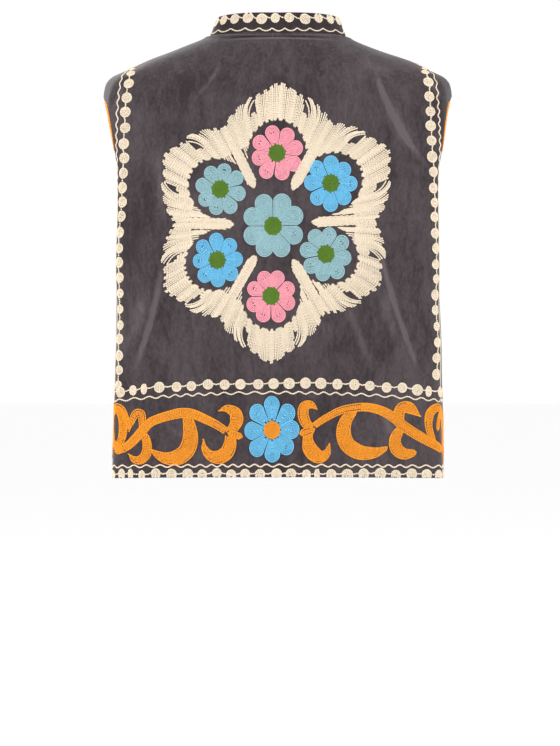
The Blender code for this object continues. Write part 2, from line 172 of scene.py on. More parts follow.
def smooth_through(places, values, at):
    """A monotone cubic through the values, at every place of an array."""
    slopes = np.diff(values) / np.diff(places)
    tangents = np.concatenate([slopes[:1], np.zeros(len(slopes) - 1), slopes[-1:]])
    same_way = slopes[:-1] * slopes[1:] > 0
    tangents[1:-1][same_way] = 2.0 / (1.0 / slopes[:-1][same_way] + 1.0 / slopes[1:][same_way])
    i = np.clip(np.searchsorted(places, at) - 1, 0, len(places) - 2)
    step = places[i + 1] - places[i]
    t = (at - places[i]) / step
    return (
        (2 * t**3 - 3 * t**2 + 1) * values[i]
        + (t**3 - 2 * t**2 + t) * step * tangents[i]
        + (3 * t**2 - 2 * t**3) * values[i + 1]
        + (t**3 - t**2) * step * tangents[i + 1]
    )


def distance_along(x, y):
    return np.concatenate([[0.0], np.cumsum(np.hypot(np.diff(x), np.diff(y)))])


def evenly(x, y):
    along = distance_along(x, y)
    even = np.linspace(0.0, along[-1], SECTION_SAMPLES)
    return np.interp(even, along, x), np.interp(even, along, y)


def soft_outline(side, half_width, depth):
    turn = np.linspace(0.0, math.pi / 2, SECTION_SAMPLES)
    power = 2.0 / SOFT_SQUARENESS[side]
    return evenly(half_width * np.sin(turn) ** power, depth * np.abs(np.cos(turn)) ** power)


def boxy_outline(side, half_width, depth):
    """Three arcs that meet smoothly: over the panel, round the corner and along the side."""
    radius = CORNER_RADIUS[side]
    start, end = PANEL_BOW[side], math.pi / 2 - SIDE_BOW
    corner_x = radius * (math.sin(end) - math.sin(start))
    corner_y = radius * (math.cos(start) - math.cos(end))
    reach = [[math.sin(start), 1 - math.sin(end)], [1 - math.cos(start), math.cos(end)]]
    panel, flank = np.linalg.solve(reach, [half_width - corner_x, depth - corner_y])
    turn = np.linspace(0.0, math.pi / 2, 4 * SECTION_SAMPLES)
    middle = (turn[1:] + turn[:-1]) / 2
    bend = np.where(middle < start, panel, np.where(middle < end, radius, flank)) * np.diff(turn)
    x = np.concatenate([[0.0], np.cumsum(bend * np.cos(middle))])
    y = depth - np.concatenate([[0.0], np.cumsum(bend * np.sin(middle))])
    return evenly(x, np.maximum(y, 0.0))


class Figure:
    """One side of the general figure, as a table of its sections from the centre to the side line."""

    def __init__(self, side):
        self.side = side
        self.heights = np.arange(TABLE_LOW, TABLE_HIGH + 1e-9, ROW_OF_TABLE)
        depth_column = 2 if side == "back" else 3
        half_widths, depths, boxinesses = (
            smooth_through(SECTIONS[:, 0], SECTIONS[:, column], self.heights)
            for column in (1, depth_column, 4)
        )
        outlines = []
        for half_width, depth, boxiness in zip(half_widths, depths, boxinesses):
            soft = np.array(soft_outline(side, half_width, depth))
            boxy = np.array(boxy_outline(side, half_width, depth))
            outlines.append(evenly(*(soft + (boxy - soft) * boxiness)))
        self.x, self.y = np.array(outlines).transpose(1, 0, 2)
        self.lengths = np.array([distance_along(x, y)[-1] for x, y in outlines])

    def length(self, height):
        return np.interp(height, self.heights, self.lengths)

    def section(self, height):
        """The outline's points at one height."""
        row = np.clip((height - TABLE_LOW) / ROW_OF_TABLE, 0, len(self.heights) - 1.001)
        i, t = int(row), row - int(row)
        return (1 - t) * self.x[i] + t * self.x[i + 1], (1 - t) * self.y[i] + t * self.y[i + 1]

    def across_at(self, x, height):
        outline_x, outline_y = self.section(height)
        return float(np.interp(x, outline_x, distance_along(outline_x, outline_y)))

    def place(self, across, height):
        """Places on the figure, for arrays of signed distances across and of heights."""
        across, height = np.broadcast_arrays(across, height)
        length = self.length(height)
        beyond = np.maximum(0.0, np.abs(across) - length)
        row = np.clip((height - TABLE_LOW) / ROW_OF_TABLE, 0, len(self.heights) - 1.001)
        column = np.minimum(np.abs(across) / length, 1.0) * (SECTION_SAMPLES - 1)
        column = np.minimum(column, SECTION_SAMPLES - 1.001)
        i, j = row.astype(int), column.astype(int)
        s, t = row - i, column - j
        x, y = (
            (1 - s) * ((1 - t) * table[i, j] + t * table[i, j + 1])
            + s * ((1 - t) * table[i + 1, j] + t * table[i + 1, j + 1])
            for table in (self.x, self.y)
        )
        y_sign = 1.0 if self.side == "back" else -1.0
        return np.stack([np.copysign(x, across), y_sign * (y - beyond), height], axis=-1)


figures = {side: Figure(side) for side in ("back", "front")}


# ---------------------------------------------------------------- the edges of the panels
def neck_place(side, turn):
    """(across, height) of the neck hole's edge: turn is 0 at the shoulder, 90 degrees at the centre."""
    power = 2.0 / NECK_ROUNDNESS
    x = NECK_HALF_WIDTH * abs(math.cos(turn)) ** power
    y = NECK_DEPTH[side] * math.sin(turn) ** power
    low, high = SHOULDER_TIP_Z, 0.030
    for _ in range(32):
        middle = (low + high) / 2
        outline_x, outline_y = figures[side].section(middle)
        inside = x < outline_x[-1] and np.interp(x, outline_x, outline_y) > y
        low, high = (middle, high) if inside else (low, middle)
    return figures[side].across_at(x, low), low


NECK_END_TURN = math.acos((FRONT_GAP_AT_NECK / NECK_HALF_WIDTH) ** (NECK_ROUNDNESS / 2.0))
NECK_TURNS = np.linspace(0.0, math.pi / 2, 91)
NECK_LINE = {
    side: np.array([neck_place(side, turn) for turn in NECK_TURNS]) for side in ("back", "front")
}


def neck_line(side, turn):
    return np.stack([np.interp(turn, NECK_TURNS, NECK_LINE[side][:, k]) for k in (0, 1)], axis=-1)


def hem_height(side, share):
    return HEM_Z + (HEM_RISE_AT_BACK if side == "back" else 0.0) * (1.0 - share**2)


def armhole_cut(side, height):
    """How far the armhole's edge lies from the side line, along the cloth."""
    share = np.clip((height - UNDERARM_Z) / (SHOULDER_TIP_Z - UNDERARM_Z), 0.0, 1.0)
    roundness = np.where(share < 0.5, ARMHOLE_ROUNDNESS["lower"], ARMHOLE_ROUNDNESS["upper"])
    bow = (1.0 - np.abs(2.0 * share - 1.0) ** roundness) ** (1.0 / roundness)
    return np.maximum(SEAM_GAP / 2, ARMHOLE_CUT[side] * bow)


def front_edge(height):
    top = NECK_LINE["front"][-1, 1]
    gap = FRONT_GAP_AT_HEM + (FRONT_GAP_AT_NECK - FRONT_GAP_AT_HEM) * (height - HEM_Z) / (top - HEM_Z)
    return np.array([figures["front"].across_at(g, h) for g, h in zip(gap, height)])


def centre_edge(side, v):
    if side == "back":
        foot, top = hem_height(side, 0.0), NECK_LINE["back"][-1, 1]
        return np.stack([0.0 * v, foot + (top - foot) * v], axis=-1)
    height = HEM_Z + (neck_line("front", NECK_END_TURN)[1] - HEM_Z) * v
    return np.stack([front_edge(height), height], axis=-1)


def side_line(side, height):
    return np.stack([figures[side].length(height) - SEAM_GAP / 2, height], axis=-1)


def armhole_edge(side, turn):
    height = UNDERARM_Z + (SHOULDER_TIP_Z - UNDERARM_Z) * (1.0 - np.cos(turn)) / 2
    return np.stack([figures[side].length(height) - armhole_cut(side, height), height], axis=-1)


def shoulder_edge(side, share):
    heights = np.linspace(NECK_LINE["back"][0, 1], SHOULDER_TIP_Z, SECTION_SAMPLES)
    widths = figures["back"].place(figures["back"].length(heights), heights)[:, 0]
    along = distance_along(widths, heights)
    return side_line(side, np.interp(share, along / along[-1], heights))


def cells_inside(left, right, bottom, top, u, v):
    """(across, height) of the grid inside four edges, each given as points at the shares u or v."""
    u, v = u[None, :, None], v[:, None, None]
    ruled_across = (1 - u) * left[:, None] + u * right[:, None]
    ruled_up = (1 - v) * bottom[None] + v * top[None]
    foot = (1 - u) * bottom[0] + u * bottom[-1]
    head = (1 - u) * top[0] + u * top[-1]
    return ruled_across + ruled_up - (1 - v) * foot - v * head


LEDGE_COLUMNS, NECK_COLUMNS, SHOULDER_COLUMNS = 14, 26, 26
SEAM_ROWS, ARMHOLE_ROWS, NECK_ROWS = 66, 50, 12


def panel_net(side):
    """(across, height) of a half panel's grid, and the same for its part under the armhole's ledge."""
    inner_share = 0.8
    columns = NECK_COLUMNS + SHOULDER_COLUMNS
    u = np.linspace(0.0, 1.0, columns + 1)
    neck_share = NECK_COLUMNS / columns
    seam_v = np.linspace(0.0, 0.5, SEAM_ROWS + 1)
    v = np.concatenate(
        [
            seam_v,
            np.linspace(0.5, 0.965, ARMHOLE_ROWS + 1)[1:],
            np.linspace(0.965, 1.0, NECK_ROWS + 1)[1:],
        ]
    )
    left = centre_edge(side, v)
    outer_foot = side_line(side, np.array([HEM_Z]))[0, 0]

    def hem(share):
        across = left[0, 0] + (outer_foot - left[0, 0]) * share
        return np.stack([across, hem_height(side, share)], axis=-1)

    foot, ledge_end = hem(np.array([inner_share]))[0], armhole_edge(side, np.array([LEDGE_TURN]))[0]
    under = foot + (ledge_end - foot) * (seam_v / 0.5)[:, None]
    above = armhole_edge(side, LEDGE_TURN + (math.pi - LEDGE_TURN) * (v[SEAM_ROWS + 1 :] - 0.5) / 0.5)
    centre_turn = math.pi / 2 if side == "back" else NECK_END_TURN
    neck = neck_line(side, centre_turn * (1.0 - u[: NECK_COLUMNS + 1] / neck_share))
    shoulder = shoulder_edge(side, (u[NECK_COLUMNS + 1 :] - neck_share) / (1.0 - neck_share))
    inner = cells_inside(
        left, np.concatenate([under, above]), hem(inner_share * u), np.concatenate([neck, shoulder]), u, v
    )
    w = np.linspace(0.0, 1.0, LEDGE_COLUMNS + 1)
    seam = side_line(side, HEM_Z + (UNDERARM_Z - HEM_Z) * seam_v / 0.5)
    ledge = cells_inside(
        under,
        seam,
        hem(inner_share + (1.0 - inner_share) * w),
        armhole_edge(side, LEDGE_TURN * (1.0 - w)),
        w,
        seam_v / 0.5,
    )
    return inner, ledge


# ---------------------------------------------------------------- the folded cloth
def fold_rise(panel, across, height, seam_distance):
    """How far the cloth stands off the figure, from every fold and crease of this panel."""
    total = np.zeros_like(across)
    for name, across_top, height_top, across_foot, height_foot, width, rise, bow in FOLDS:
        if name != panel:
            continue
        run = np.array([across_foot - across_top, height_foot - height_top])
        length = math.hypot(*run)
        a, h = across - across_top, height - height_top
        share = (a * run[0] + h * run[1]) / length**2
        inside = np.clip(share, 0.0, 1.0)
        sideways = (a * run[1] - h * run[0]) / length - bow * 4 * inside * (1 - inside)
        fade = smooth_step(share / 0.25) * smooth_step((1.0 - share) / 0.25)
        total += rise * np.exp(-((sideways / width) ** 2)) * fade
    return total * smooth_step(seam_distance / FOLD_FADE_AT_SEAMS)


def unevenness(panel, across, height):
    """The slight waviness of hanging cloth."""
    dice = np.random.default_rng({"back": 5, "front_left": 6, "front_right": 7}[panel])
    total = np.zeros_like(across)
    for wavelength, size in ((0.16, 0.0007), (0.11, 0.0006), (0.07, 0.00035), (0.045, 0.00022)):
        for _ in range(3):
            direction, phase = dice.uniform(0, math.pi), dice.uniform(0, 2 * math.pi)
            way = across * math.cos(direction) + 0.6 * height * math.sin(direction)
            total += size * np.sin(2 * math.pi * way / wavelength + phase) / 1.7
    return total


class Cloth:
    """A panel's folded outer face, as a fine net of places and outward directions."""

    STEP = 0.0015

    def __init__(self, panel):
        self.side = "back" if panel == "back" else "front"
        self.figure = figures[self.side]
        self.x_sign = -1.0 if panel == "front_right" else 1.0
        reach = self.figure.lengths.max() + 0.012
        self.low = -reach if panel == "back" else -0.004
        across = np.arange(self.low, reach, self.STEP)
        heights = np.arange(TABLE_LOW, 0.0305, self.STEP)
        across, heights = np.meshgrid(across, heights)
        base = self.figure.place(across, heights)
        outward = self.outward(base)
        seam_distance = self.figure.length(heights) - np.abs(across)
        rise = fold_rise(panel, across, heights, seam_distance)
        rise += unevenness(panel, across, heights) * smooth_step(seam_distance / 0.02)
        sewn = (heights < UNDERARM_Z) | (heights > SHOULDER_TIP_Z)
        rise -= np.where(sewn, 0.0009 * np.exp(-((seam_distance / 0.0024) ** 2)), 0.0)
        rise += self.neck_binding(base)
        self.places = base + outward * rise[..., None]
        self.directions = self.outward(self.places)
        self.places[..., 0] *= self.x_sign
        self.directions[..., 0] *= self.x_sign

    def outward(self, places):
        up, along = np.gradient(places, axis=0), np.gradient(places, axis=1)
        normal = np.cross(up, along) if self.side == "back" else np.cross(along, up)
        return normal / np.maximum(np.linalg.norm(normal, axis=-1, keepdims=True), 1e-12)

    def neck_binding(self, base):
        """The neck seam is stitched down: a groove at its foot and a narrow ridge below it."""
        rim = self.figure.place(*neck_line(self.side, NECK_TURNS).T)
        near = (base[..., 2] > -0.07) & (np.abs(base[..., 0]) < 0.12)
        points = base[near]
        points[:, 0] = np.abs(points[:, 0])
        gap = np.full(len(points), 1.0)
        for place in rim:
            gap = np.minimum(gap, np.linalg.norm(points - place, axis=1))
        rise = np.zeros(base.shape[:2])
        ridge = 0.0015 * np.exp(-(((gap - 0.0074) / 0.0017) ** 2))
        rise[near] = ridge - 0.0017 * np.exp(-(((gap - 0.0034) / 0.0016) ** 2))
        return rise

    def at(self, across, height):
        """(places, outward directions) for arrays of distances across and of heights."""
        column = np.clip((across - self.low) / self.STEP, 0, self.places.shape[1] - 1.001)
        row = np.clip((height - TABLE_LOW) / self.STEP, 0, self.places.shape[0] - 1.001)
        i, j = row.astype(int), column.astype(int)
        s, t = (row - i)[..., None], (column - j)[..., None]
        found = [
            (1 - s) * ((1 - t) * net[i, j] + t * net[i, j + 1])
            + s * ((1 - t) * net[i + 1, j] + t * net[i + 1, j + 1])
            for net in (self.places, self.directions)
        ]
        return found[0], found[1] / np.linalg.norm(found[1], axis=-1, keepdims=True)


cloths = {panel: Cloth(panel) for panel in ("back", "front_left", "front_right")}


# ---------------------------------------------------------------- the collar
def collar_net_line():
    """The neck hole's edge in 3-D from the centre back to the left front, and the distance along it."""
    back = neck_line("back", np.linspace(math.pi / 2, 0.0, 121))
    front = neck_line("front", np.linspace(0.0, NECK_END_TURN, 121))[1:]
    places = np.concatenate([figures["back"].place(*back.T), figures["front"].place(*front.T)])
    places[0, 0] = 0.0
    along = np.concatenate([[0.0], np.cumsum(np.linalg.norm(np.diff(places, axis=0), axis=1))])
    return places, along, along[120]


COLLAR_LINE, COLLAR_ALONG, COLLAR_SIDE = collar_net_line()
HALF_COLLAR = float(COLLAR_ALONG[-1])


def round_the_neck(table, along):
    half = np.abs(along)
    to_side = table["back"] + (table["side"] - table["back"]) * smooth_step(half / COLLAR_SIDE)
    share = (half - COLLAR_SIDE) / (HALF_COLLAR - COLLAR_SIDE)
    to_front = table["side"] + (table["front"] - table["side"]) * smooth_step(share)
    return np.where(half <= COLLAR_SIDE, to_side, to_front)


def neck_at(along):
    half = np.abs(along)
    place = np.stack([np.interp(half, COLLAR_ALONG, COLLAR_LINE[:, k]) for k in range(3)], axis=-1)
    place[..., 0] = np.copysign(place[..., 0], along)
    return place


def collar_height(along):
    height = round_the_neck(COLLAR_HEIGHT, along)
    to_end = np.clip(HALF_COLLAR - np.abs(along), 0.0, COLLAR_FRONT_CORNER)
    drop = COLLAR_FRONT_CORNER - np.sqrt(
        COLLAR_FRONT_CORNER**2 - (COLLAR_FRONT_CORNER - to_end) ** 2
    )
    return height - drop


def on_collar(along, rise):
    """(places, outward directions) on the collar's outer face: distance round it and height up it."""
    step = 0.0022
    ahead = neck_at(np.minimum(along + step, HALF_COLLAR))
    tangent = ahead - neck_at(np.maximum(along - step, -HALF_COLLAR))
    tangent /= np.linalg.norm(tangent, axis=-1, keepdims=True)
    up = np.array([0.0, 0.0, 1.0]) - tangent * tangent[..., 2:]
    up /= np.linalg.norm(up, axis=-1, keepdims=True)
    outward = np.cross(up, tangent)
    lean = round_the_neck(COLLAR_LEAN, along)[..., None]
    climb = np.cos(lean) * up - np.sin(lean) * outward
    face = np.cos(lean) * outward + np.sin(lean) * up
    belly = 0.0005 * np.sin(math.pi * np.clip(rise / 0.027, 0, 1)) * np.sin(along * 61.0 + 1.0)
    return neck_at(along) + climb * (SEAM_GAP + rise)[..., None] + face * belly[..., None], face


# ---------------------------------------------------------------- materials
class Value:
    """A shader socket whose sums and products are Math nodes."""

    def __init__(self, finish, socket):
        self.finish, self.socket = finish, socket

    def maths(self, operation, first, second=0.0):
        node = self.finish.node("ShaderNodeMath", {"operation": operation}, {0: first, 1: second})
        return Value(self.finish, node.outputs[0])

    def __add__(self, other):
        return self.maths("ADD", self, other)

    def __sub__(self, other):
        return self.maths("SUBTRACT", self, other)

    def __rsub__(self, other):
        return self.maths("SUBTRACT", other, self)

    def __mul__(self, other):
        return self.maths("MULTIPLY", self, other)

    def __pow__(self, other):
        return self.maths("POWER", self, other)

    def sine(self):
        return self.maths("SINE", self)

    def size(self):
        return self.maths("ABSOLUTE", self)

    def within(self, low, high):
        settings = {"interpolation_type": "SMOOTHSTEP"}
        if low > high:
            return 1.0 - self.within(high, low)
        node = self.finish.node("ShaderNodeMapRange", settings, {0: self, 1: low, 2: high})
        return Value(self.finish, node.outputs[0])

    __radd__, __rmul__ = __add__, __mul__


class Finish:
    """A material and its one Principled shader."""

    def __init__(self, name, sockets):
        self.material = bpy.data.materials.new(name)
        self.material.use_nodes = True
        self.tree = self.material.node_tree
        self.shader = self.tree.nodes["Principled BSDF"]
        self.place = self.node("ShaderNodeTexCoord").outputs["Object"]
        for socket, value in sockets.items():
            self.shader.inputs[socket].default_value = value

    def node(self, kind, settings=None, sockets=None):
        made = self.tree.nodes.new(kind)
        for setting, value in (settings or {}).items():
            setattr(made, setting, value)
        for key, value in (sockets or {}).items():
            if isinstance(value, Value):
                value = value.socket
            if isinstance(value, bpy.types.NodeSocket):
                self.tree.links.new(value, made.inputs[key])
            else:
                made.inputs[key].default_value = value
        return made

    def noise(self, scale, detail=3.0, stretch=(1, 1, 1), roughness=0.5, distortion=0.0):
        """A noise whose features are about one divided by scale metres apart."""
        mapped = self.node("ShaderNodeMapping", None, {"Vector": self.place, "Scale": stretch})
        sockets = {
            "Vector": mapped.outputs[0],
            "Scale": scale,
            "Detail": detail,
            "Roughness": roughness,
            "Distortion": distortion,
        }
        return Value(self, self.node("ShaderNodeTexNoise", None, sockets).outputs["Fac"])

    def part_of_place(self, axis):
        return Value(self, self.node("ShaderNodeSeparateXYZ", None, {0: self.place}).outputs[axis])

    def blend(self, share, first, second):
        settings = {"data_type": "RGBA"}
        node = self.node("ShaderNodeMix", settings, {0: share, 6: first, 7: second})
        return node.outputs[2]

    def colour(self, socket):
        self.tree.links.new(socket, self.shader.inputs["Base Color"])

    def roughness(self, value):
        self.tree.links.new(value.socket, self.shader.inputs["Roughness"])

    def bump(self, height, distance, strength=1.0):
        sockets = {"Height": height, "Distance": distance, "Strength": strength}
        made = self.node("ShaderNodeBump", None, sockets)
        self.tree.links.new(made.outputs[0], self.shader.inputs["Normal"])


def linear(red, green, blue):
    """A colour given as it shows on a screen, 0 to 255."""
    shares = [value / 255.0 for value in (red, green, blue)]
    return tuple(s / 12.92 if s < 0.04045 else ((s + 0.055) / 1.055) ** 2.4 for s in shares) + (1.0,)


# Painted highlights where the pile catches the light along a crease: the line's X and Z at its top and at
# its foot, its width, how light it is (below zero, a painted shade line) and how far it bows. The first
# ones are on the back, the others in front.
PAINTED_LIGHT_BACK = [
    (-0.121, -0.020, -0.196, -0.160, 0.0062, 1.10, -0.010),
    (-0.140, -0.060, -0.176, -0.135, 0.0140, 0.45, -0.006),
    (-0.100, -0.012, -0.150, -0.040, 0.0100, 0.30, 0.0),
    (-0.124, -0.240, -0.186, -0.430, 0.0058, 1.00, -0.004),
    (-0.112, -0.250, -0.170, -0.420, 0.0130, 0.35, -0.004),
    (-0.082, -0.315, -0.124, -0.425, 0.0100, 0.38, 0.0),
    (0.156, -0.120, 0.148, -0.250, 0.0110, 0.40, 0.004),
    (0.147, -0.270, 0.190, -0.425, 0.0064, 1.05, 0.007),
    (0.166, -0.290, 0.196, -0.400, 0.0120, 0.35, 0.004),
    (0.072, -0.018, 0.110, -0.070, 0.0045, 0.45, 0.004),
    (0.196, -0.045, 0.214, -0.085, 0.0040, 0.40, 0.0),
    (-0.190, -0.034, -0.212, -0.070, 0.0050, 0.45, 0.0),
    (0.116, -0.500, 0.150, -0.470, 0.0060, 0.30, 0.004),
    (-0.120, -0.448, -0.160, -0.520, 0.0070, 0.40, 0.0),
    (0.020, -0.330, 0.032, -0.400, 0.0160, 0.18, 0.0),
    # Painted light at the neck seam: a painted highlight along its ridge, then a painted shade line in its
    # groove.
    (0.092, 0.0098, -0.092, 0.0098, 0.0019, 0.90, 0.0024),
    (0.080, 0.0136, -0.080, 0.0136, 0.0017, -0.60, 0.0016),
]
PAINTED_LIGHT_FRONT = [
    (0.042, -0.120, 0.070, -0.280, 0.0070, 0.55, 0.006),
    (0.110, -0.040, 0.168, -0.150, 0.0070, 0.60, 0.006),
    (0.146, -0.250, 0.166, -0.430, 0.0070, 0.60, -0.004),
    (0.060, -0.330, 0.046, -0.430, 0.0100, 0.35, 0.0),
    (-0.036, -0.140, -0.058, -0.300, 0.0070, 0.55, -0.006),
    (-0.118, -0.036, -0.162, -0.160, 0.0070, 0.60, -0.006),
    (-0.150, -0.270, -0.160, -0.440, 0.0070, 0.55, 0.004),
    (-0.098, -0.240, -0.108, -0.420, 0.0110, 0.30, 0.0),
]


def painted_light_lines(cloth, lines):
    """Painted highlights along a few creases, and painted shade where a line's lightness is below zero."""
    x, z = cloth.part_of_place("X"), cloth.part_of_place("Z")
    total = None
    for x_top, z_top, x_foot, z_foot, width, light, bow in lines:
        length = math.hypot(x_foot - x_top, z_foot - z_top)
        right, down = (x_foot - x_top) / length, (z_foot - z_top) / length
        off_x, off_z = x - x_top, z - z_top
        share = (off_x * right + off_z * down) * (1.0 / length)
        aside = off_x * down - off_z * right - share * (1.0 - share) * (4.0 * bow)
        near = aside.size().within(width, 0.0)
        fade = share.within(0.0, 0.35) * share.within(1.0, 0.6)
        line = near * fade * light
        total = line if total is None else total + line
    return total


def velvet(name, dark, light, paints_crease_light=True):
    """Crushed pile: the nap lies this way and that in soft patches, with fine brushed lines and specks.
    Where asked, painted highlights lie along the creases, with a painted shade line at the neck seam.
    """
    cloth = Finish(name, {"Sheen Weight": 0.16, "Sheen Roughness": 0.4, "Specular IOR Level": 0.15})
    clouds = cloth.noise(9.0, 3.0, (1, 1, 0.7), 0.55, 0.6)
    brushed = cloth.noise(75.0, 5.0, (1, 1, 0.30), 0.62, 0.8)
    crush = cloth.noise(300.0, 3.0, (1, 1, 0.55), 0.62, 0.5)
    fibres = cloth.noise(1500.0, 1.0)
    lying = clouds * 0.36 + brushed * 0.36 + crush * 0.28
    share = lying.within(0.34, 0.68) * 0.62 + fibres * 0.24
    if paints_crease_light:
        # Painted highlights along the creases and a painted shade line at the neck seam, added to the
        # pile's tone.
        at_back = cloth.part_of_place("Y").within(-0.004, 0.004)
        painted_light = painted_light_lines(cloth, PAINTED_LIGHT_BACK) * at_back
        painted_light = painted_light + painted_light_lines(cloth, PAINTED_LIGHT_FRONT) * (1.0 - at_back)
        share = share + painted_light * (brushed * 1.3 + 0.25)
    cloth.colour(cloth.blend(share, dark, light))
    cloth.roughness(lying * 0.2 + 0.74)
    cloth.bump(fibres * 0.35 + crush * 0.65, 0.0006, 0.6)
    return cloth.material


def wrong_side(name):
    """The plain woven ground on the back of the velvet."""
    cloth = Finish(name, {"Sheen Weight": 0.1, "Specular IOR Level": 0.2})
    turns = 2 * math.pi / 0.0011
    threads = (cloth.part_of_place("X") * turns).sine() * (cloth.part_of_place("Z") * turns).sine()
    patches = cloth.noise(20.0, 3.0)
    share = threads * 0.22 + patches * 0.6 + 0.15
    cloth.colour(cloth.blend(share, linear(54, 47, 48), linear(86, 77, 78)))
    cloth.roughness(patches * 0.1 + 0.85)
    cloth.bump(threads, 0.0002, 0.6)
    return cloth.material


def wool(name, colour, deep):
    """Matte thread: each stitch a little lighter or darker, with the twist of its fibres."""
    thread = Finish(name, {"Sheen Weight": 0.15, "Sheen Roughness": 0.5, "Specular IOR Level": 0.2})
    stitches = thread.noise(420.0, 2.0)
    strands = thread.noise(2600.0, 2.0, (1, 1, 1), 0.6)
    dye = thread.noise(24.0, 2.0)
    share = stitches * 1.1 + strands * 0.45 + dye * 0.35 - 0.5
    thread.colour(thread.blend(share, deep, colour))
    thread.roughness(strands * 0.2 + 0.72)
    thread.bump(strands, 0.0002, 0.6)
    return thread.material


def sewing_thread(name):
    thread = Finish(name, {"Specular IOR Level": 0.3})
    strands = thread.noise(3000.0, 2.0)
    thread.colour(thread.blend(strands, linear(58, 50, 53), linear(140, 132, 134)))
    thread.roughness(strands * 0.2 + 0.6)
    thread.bump(strands, 0.0001, 0.5)
    return thread.material


MATERIALS = {
    "velvet": velvet("crushed_velvet", linear(27, 21, 23), linear(80, 71, 74)),
    "collar_velvet": velvet("collar_velvet", linear(26, 20, 22), linear(56, 48, 50), False),
    "velvet_wrong_side": wrong_side("velvet_ground_weave"),
    "thread_cream": wool("cream_wool", linear(228, 215, 195), linear(200, 184, 160)),
    "thread_orange": wool("orange_wool", linear(236, 156, 30), linear(200, 116, 10)),
    "thread_teal": wool("teal_wool", linear(166, 201, 207), linear(130, 172, 180)),
    "thread_blue": wool("sky_blue_wool", linear(126, 202, 234), linear(84, 172, 218)),
    "thread_pink": wool("pink_wool", linear(250, 176, 188), linear(232, 138, 156)),
    "thread_green": wool("green_wool", linear(98, 136, 30), linear(58, 94, 10)),
    "thread_grey": sewing_thread("grey_sewing_thread"),
}


# ---------------------------------------------------------------- the cloth pieces
def plain_object(name, mesh, slots):
    piece = bpy.data.objects.new(name, mesh)
    collection.objects.link(piece)
    for slot in slots:
        mesh.materials.append(MATERIALS[slot])
    return piece


def finished(piece):
    """The piece with its modifiers worked into a plain mesh."""
    graph = bpy.context.evaluated_depsgraph_get()
    graph.update()
    mesh = bpy.data.meshes.new_from_object(piece.evaluated_get(graph))
    piece.modifiers.clear()
    piece.data = mesh
    return piece


def sewn_shell(name, grids, turned, thickness, slots):
    """One closed wall of cloth from grids of outer places that share their edges."""
    places, faces = [], []
    count = 0
    for grid in grids:
        rows, columns = grid.shape[:2]
        index = count + np.arange(rows * columns).reshape(rows, columns)
        ring = (index[:-1, :-1], index[:-1, 1:], index[1:, 1:], index[1:, :-1])
        faces.append(np.stack(ring[::-1] if turned else ring, axis=-1).reshape(-1, 4))
        places.append(grid.reshape(-1, 3))
        count += rows * columns
    places, faces = np.concatenate(places), np.concatenate(faces)
    _, first, same = np.unique(
        np.round(places / 2e-5).astype(int), axis=0, return_index=True, return_inverse=True
    )
    mesh = bpy.data.meshes.new(name)
    mesh.from_pydata(places[first].tolist(), [], same.reshape(-1)[faces].tolist())
    mesh.shade_smooth()
    piece = plain_object(name, mesh, slots)
    wall = piece.modifiers.new("wall", "SOLIDIFY")
    wall.thickness, wall.offset = thickness, -1.0
    wall.material_offset = len(slots) - 1
    edge = piece.modifiers.new("rounded_edge", "BEVEL")
    edge.width, edge.segments = 0.3 * thickness, 2
    edge.limit_method, edge.angle_limit = "ANGLE", math.radians(60)
    return finished(piece)


def panel_grids(panel):
    """The panel's outer places, as grids that share their edges."""
    cloth = cloths[panel]
    inner, ledge = panel_net(cloth.side)
    grids = [cloth.at(net[..., 0], net[..., 1])[0] for net in (inner, ledge)]
    if panel == "back":
        mirrored = [cloth.at(-net[:, ::-1, 0], net[:, ::-1, 1])[0] for net in (inner, ledge)]
        grids += mirrored
    return grids


def make_collar():
    along = np.concatenate(
        [
            [-HALF_COLLAR, -HALF_COLLAR + 0.0006],
            np.linspace(-HALF_COLLAR + 0.002, HALF_COLLAR - 0.002, 125),
            [HALF_COLLAR - 0.0006, HALF_COLLAR],
        ]
    )
    rise = np.linspace(0.0, 1.0, 10)[:, None] * collar_height(along)[None]
    places = on_collar(np.broadcast_to(along, rise.shape), rise)[0]
    return sewn_shell("collar_cloth", [places], True, COLLAR_CLOTH, ["collar_velvet"])


def make_panel(panel):
    turned = panel != "front_left"
    slots = ["velvet", "velvet_wrong_side"]
    return sewn_shell(f"{panel}_cloth", panel_grids(panel), turned, CLOTH, slots)


back, front_left, front_right = (make_panel(panel) for panel in cloths)
collar = make_collar()


# ---------------------------------------------------------------- where needlework may lie
def on_cloth(panel):
    """Points there are the distance across a panel and the height."""

    def place(points):
        places, outward = cloths[panel].at(points[:, 0], points[:, 1])
        return places, outward, on_panel(cloths[panel].side, np.abs(points[:, 0]), points[:, 1])

    return place


on_back = on_cloth("back")


def on_panel(side, across, height):
    """Whether the cloth reaches there, with room for half a row."""
    room = 0.0011
    length = figures[side].length(height)
    inside = height > HEM_Z + (HEM_RISE_AT_BACK if side == "back" else 0.0) * (
        1 - np.clip(across / length, 0, 1) ** 2
    ) + room * 0.8
    at_armhole = (height > UNDERARM_Z) & (height < SHOULDER_TIP_Z)
    inside &= ~at_armhole | (across < length - armhole_cut(side, height) - room)
    return inside & (across < length - room * 0.5)


def on_round(along, height):
    """Places round the body at a distance from the centre back, over the side line on to the fronts."""
    side_at = figures["back"].length(height)
    reach = figures["front"].length(height)
    across_front = reach - (np.abs(along) - side_at)
    at_back = np.abs(along) <= side_at
    back_across = np.clip(along, -side_at, side_at)
    places, outward = cloths["back"].at(back_across, height)
    keep = on_panel("back", np.abs(back_across), height)
    edge = FRONT_GAP_AT_HEM + 0.0035
    for panel, sign in (("front_left", 1), ("front_right", -1)):
        here = ~at_back & (np.sign(along) == sign)
        across = np.maximum(across_front[here], 0.0)
        places[here], outward[here] = cloths[panel].at(across, height[here])
        keep[here] = on_panel("front", across, height[here]) & (across > edge)
    return places, outward, keep


